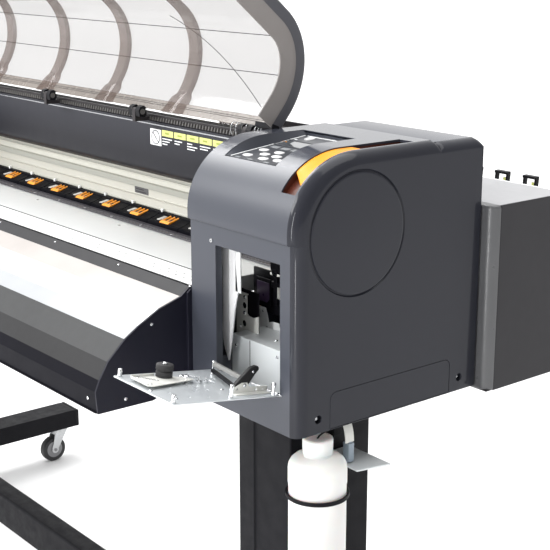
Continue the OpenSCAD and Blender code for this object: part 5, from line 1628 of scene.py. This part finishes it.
def bottle():
    """Milky bottle with a ribbed screw cap, and the drain's short end into the cap."""
    node = mm_box("waste_bottle")
    low = node[0].z
    body = Shape().lathe([(36, low + 1.5), (38, low), (42, low), (46, low + 4), (46.5, low + 8),
                          (46.5, low + 40), (45.7, low + 42),
                          (45.7, -92), (46.5, -90), (46.5, -66), (45.6, -60), (42.5, -54), (37, -49),
                          (30, -46.5), (23, -45.4),
                          (21.5, -43), (21.5, -38)], (BOTTLE_X, BOTTLE_Y, 0), "z", segments=72)
    body.build("bottle_body", bottle_white, slot="bottle_white", replaces="waste_bottle")
    teeth = 72
    rings = []
    for radius, z, groove in ((22.6, -41.4, 0), (23.6, -41, 0.5), (23.8, -33, 0.5), (23.9, -32, 0),
                              (24, -20, 0), (23.4, -17.6, 0),
                              (21.5, -16.6, 0), (17, -16.4, 0), (16.4, -17.2, 0), (6, -17.4, 0),
                              (0.05, -17.4, 0)):
        rings.append([(BOTTLE_X + q * math.cos(a), BOTTLE_Y + q * math.sin(a), z) for q, a in
                      ((max(radius - (groove if k % 4 < 2 else 0), 0.02), a)
                       for k, a in enumerate(turns(teeth * 4)))])
    Shape().loft(rings).build("bottle_cap", bottle_white, slot="bottle_white", angle=50)
    drain = Shape().tube([(BOTTLE_X + 3, BOTTLE_Y - 4, -18), (BOTTLE_X + 4, BOTTLE_Y, -13),
                          (BOTTLE_X + 6, BOTTLE_Y + 8, -8.5),
                          (BOTTLE_X + 6, BOTTLE_Y + 22, -6), (BOTTLE_X + 2, BOTTLE_Y + 40, -4),
                          (BOTTLE_X - 4, BOTTLE_Y + 56, 4)], 1.5, 0, 12)
    drain.build("drain_end", black_rubber, slot="knob_rubber")


def bottle_holder():
    """Ring around the body on an arm from the leg, and a clip with its strap behind."""
    leg = mm_box("stand_right")[1].x
    ring = Shape()
    section = [(47, -112), (50.5, -112), (50.5, -106), (47, -106)]
    ring.loft([[(BOTTLE_X + r * math.cos(a), BOTTLE_Y + r * math.sin(a), z) for r, z in section]
               for a in turns(48)], closed=True)
    ring.box((leg - 1, BOTTLE_Y - 10, -111.5), (BOTTLE_X - 47.6, BOTTLE_Y + 10, -106.5))
    ring.box((leg - 0.5, BOTTLE_Y - 12, -135), (leg + 2.5, BOTTLE_Y + 12, -106.5))
    ring.build("bottle_ring", stand_black, slot="stand_steel", bevel=0.5)
    clip = Shape().extrude(rounded((-37, 124), (-22, 136), 2, 4), "z", -75, -43)
    clip.box((-35, 126, -43.5), (-24, 134, -41))
    clip.build("bottle_clip", clip_blue, slot="station_grey", bevel=1.2)
    strap = Shape()
    rings = []
    for k in range(13):
        t = math.pi / 2 * k / 12
        x, z = -46 + 20 * math.sin(t), -42 + 40 * math.cos(t)
        u, w = x + 1.6 * math.sin(t), z + 1.6 * math.cos(t)
        rings.append([(x, 119, z), (x, 137, z), (u, 137, w), (u, 119, w)])
    strap.loft(rings)
    strap.box((-52, 119, -3.6), (-44, 137, -0.4))
    strap.build("bottle_strap", sheet_light, slot="arm_light", bevel=0.4)
    plug = Shape().box((-58, 112, -34), (-44, 128, -14))
    for k in range(4):
        plug.box((-57 + 3.4 * k, 110.5, -46), (-55 + 3.4 * k, 113, -30))
    plug.build("bottle_plug", black_plastic, slot="roller_black", bevel=0.8)
    shelf = Shape().extrude([(leg, 118), (4, 118), (18, 178), (leg, 178)], "z", -80, -77)
    shelf.extrude([(leg, 118), (leg + 2.5, 118), (leg + 2.5, 178), (leg, 178)], "z", -110, -78)
    shelf.build("bottle_shelf", station_grey, slot="station_grey", bevel=0.8)


bottle()
bottle_holder()


# ---- stand, casters and roll shaft -----------------------------------------------------------------------
LEG_Y0, LEG_Y1, FOOT_W = 50, 225, 84
STEM_INSET = 45


def stand(side):
    """Leg with rounded corners and a recessed front panel, on a long foot with end caps."""
    (x0, y0, z0), (x1, y1, z1) = mm_box("stand_" + side)
    foot_z, mid = z0 + 52, (x0 + x1) / 2
    section = arc(x0 + 4, LEG_Y0 + 4, 4, 180, 270, 6) + [(x0 + 41, LEG_Y0), (x0 + 43, LEG_Y0 + 3)]
    section += arc(x1 - 4, LEG_Y0 + 7, 4, 270, 360,
                   6) + arc(x1 - 5, LEG_Y1 - 5, 5, 0, 90, 6) + arc(x0 + 5, LEG_Y1 - 5, 5, 90, 180, 6)
    leg = Shape().extrude(section, "z", foot_z + 4, z1)
    leg.extrude(rounded((x0, LEG_Y0), (x1, LEG_Y1), 6, 5), "z", foot_z, foot_z + 5)
    leg.extrude(rounded((y0 + 2, z0), (y1 - 2, foot_z), [5, 5, 16, 16], 6), "x", mid - FOOT_W / 2,
                mid + FOOT_W / 2)
    leg.build("stand_%s_steel" % side, stand_black, slot="stand_steel", replaces="stand_" + side, bevel=1.5)
    caps = Shape()
    for a, b in ((y0, y0 + 12), (y1 - 12, y1)):
        caps.extrude(rounded((a, z0 - 0.2), (b, foot_z + 0.2), [4, 4, 5, 5], 4), "x", mid - FOOT_W / 2 - 0.6,
                     mid + FOOT_W / 2 + 0.6)
    caps.build("stand_%s_caps" % side, black_plastic, slot="stand_steel", bevel=1.5)
    bolts = Shape()
    for x in (x0 + 14, x1 - 14):
        for y in (LEG_Y0 + 20, LEG_Y1 - 20):
            if mid - FOOT_W / 2 < x < mid + FOOT_W / 2:
                continue
            ring = [(x + 6 * math.cos(k * math.pi / 3), y + 6 * math.sin(k * math.pi / 3)) for k in range(6)]
            bolts.loft([[(u, v, h) for u, v in ring] for h in (foot_z + 5, foot_z + 9)])
            bolts.lathe([(8, foot_z + 4.9), (8, foot_z + 5.8), (0.02, foot_z + 5.8)], (x, y, 0), "z", 0, 24)
    for z in (-380, -420):
        bolts.lathe([(5, 0), (4.8, -2), (3.4, -3), (1.6, -3), (1.5, -2), (0.02, -2)], (x0 + 20, LEG_Y0, z),
                    "y", 0, 28)
    bolts.build("stand_%s_bolts" % side, zinc, slot="caster_steel", bevel=0.3)


def cross_beam():
    (x0, y0, z0), (x1, y1, z1) = mm_box("cross_beam")
    beam = Shape().extrude(rounded((y0, z0), (y1, z1), 6, 5), "x", x0, x1)
    for a in (x0, x1 - 5):
        beam.extrude(rounded((y0 - 9, z0 - 9), (y1 + 9, z1 + 9), 5, 4), "x", a, a + 5)
    beam.build("cross_beam_tube", stand_black, slot="stand_steel", replaces="cross_beam", bevel=0.8)
    bolts = Shape()
    for x, s in ((x0 + 5, 1), (x1 - 5, -1)):
        for z in (z0 - 4, z1 + 4):
            bolts.lathe([(4, 0), (4, s * 3), (3.2, s * 3.8), (0.02, s * 3.8)], (x, (y0 + y1) / 2, z), "x", 0,
                        6)
    bolts.build("cross_beam_bolts", zinc, slot="caster_steel")


def caster(corner):
    """Swivel fork with a bearing cap and its axle bolt, and a treaded wheel on a grey hub."""
    lo, hi = mm_box("caster_wheel_" + corner)
    cx, wy, wz, r = (lo.x + hi.x) / 2, (lo.y + hi.y) / 2, (lo.z + hi.z) / 2, (hi.z - lo.z) / 2
    foot = mm_box("stand_left" if corner[1] == "l" else "stand_right")
    sy = foot[0].y + STEM_INSET if corner[0] == "f" else foot[1].y - STEM_INSET
    top = foot[0].z
    fork = Shape().lathe([(22, -7), (24, -6.4), (24, -3.4), (22.6, -2.4), (17, -2), (16, -0.6), (8, -0.6)],
                         (cx, sy, top), "z")
    cheek = [(sy - 20, top - 8), (sy - 19, top - 6.4), (sy + 19, top - 6.4),
             (sy + 20, top - 8)] + arc(wy, wz, 11, 15, -195, 14)
    for x in (-17.4, 14.6):
        fork.extrude(cheek, "x", cx + x, cx + x + 2.8)
    fork.box((cx - 17, sy - 18, top - 10), (cx + 17, sy + 18, top - 6.5))
    fork.build("caster_%s_fork" % corner, zinc, "caster_fork_" + corner, slot="caster_steel",
               replaces="caster_fork_" + corner, bevel=0.7)
    tread_part = [(27, -11.6), (31, -13), (35, -12.2), (r - 0.7, -9.5), (r, -6), (r, -1), (r - 0.8, -0.6),
                  (r - 0.8, 0.6), (r, 1), (r, 6),
                  (r - 0.7, 9.5), (35, 12.2), (31, 13), (27, 11.6)]
    hub = [(5, -19), (5, -14), (9, -13.8), (10, -12.4), (24, -12.1), (25.4, -11.5), (25.4, 11.5), (24, 12.1),
           (10, 12.4), (9, 13.8),
           (5, 14), (5, 19), (0.02, 19)]
    wheel = Shape().lathe(tread_part, (cx, wy, wz), "x", 0, 64).lathe(hub, (cx, wy, wz), "x", 1, 40)
    wheel.build("caster_%s_wheel" % corner, [tread, hub_grey], "caster_wheel_" + corner, slot="caster_tread",
                replaces="caster_wheel_" + corner)


# Axis of the roll shafts, across the stand at its back
ROLL_Y, ROLL_Z = 455, -60


def roll_shaft():
    """Tube with a flanged core holder at each end and its rubber grips."""
    (x0, _, _), (x1, _, _) = mm_box("media_shaft")
    length = x1 - x0
    half = [(10.5, 0), (12, 1.5), (12, 43), (46, 44), (50, 46), (50, 50), (47, 52), (27, 52.6), (25, 54),
            (25, 82), (22.6, 85.6), (12, 86)]
    profile = half + [(r, length - h) for r, h in half[::-1]]
    shaft = Shape().lathe(profile, (x0, ROLL_Y, ROLL_Z), "x", 0, 64)
    shaft.build("roll_shaft", shaft_steel, "media_shaft", slot="roll_aluminium", replaces="media_shaft")
    grips = Shape()
    for start in (x0 + 58, x1 - 78):
        for a in turns(6):
            y, z = ROLL_Y + 24.6 * math.cos(a), ROLL_Z + 24.6 * math.sin(a)
            grips.lathe([(2.2, 0), (2.8, 0.8), (2.8, 19.2), (2.2, 20)], (start, y, z), "x", 0, 16)
    grips.build("roll_shaft_grips", black_rubber, "media_shaft", slot="knob_rubber")


def grit_shaft():
    profile = [(5.4, 0), (6, 0.6)]
    x0 = SPAN0 - 14
    for i in reversed(range(UNITS)):
        c = unit_x(i) - x0
        profile += [(6, c - 18), (11.1, c - 18), (11.7, c - 17.2), (11.7, c + 17.2), (11.1, c + 18),
                    (6, c + 18)]
    end = SPAN1 + 14 - x0
    profile += [(6, end - 0.6), (5.4, end)]
    z = mm_box("grit_shaft")[0].z + 11.7
    shaft = Shape().lathe(profile, (x0, FEED_Y, z), "x", 0, 40)
    shaft.build("grit_shaft_turned", shaft_steel, "grit_shaft", slot="shaft_steel", replaces="grit_shaft")


for side in ("left", "right"):
    stand(side)
cross_beam()
for corner in ("fl", "fr", "bl", "br"):
    caster(corner)
roll_shaft()
grit_shaft()

# Parts that keep their CAD mesh get rounded edges
for name, width in (("chassis_beam", 1.0), ("side_frames", 0.6), ("carriage_frame", 0.8),
                    ("print_heads", 0.8), ("tool_holder", 0.5),
                    ("panel_fascia", 0.3)):
    round_edges(frame["nodes"][name], width, 2)
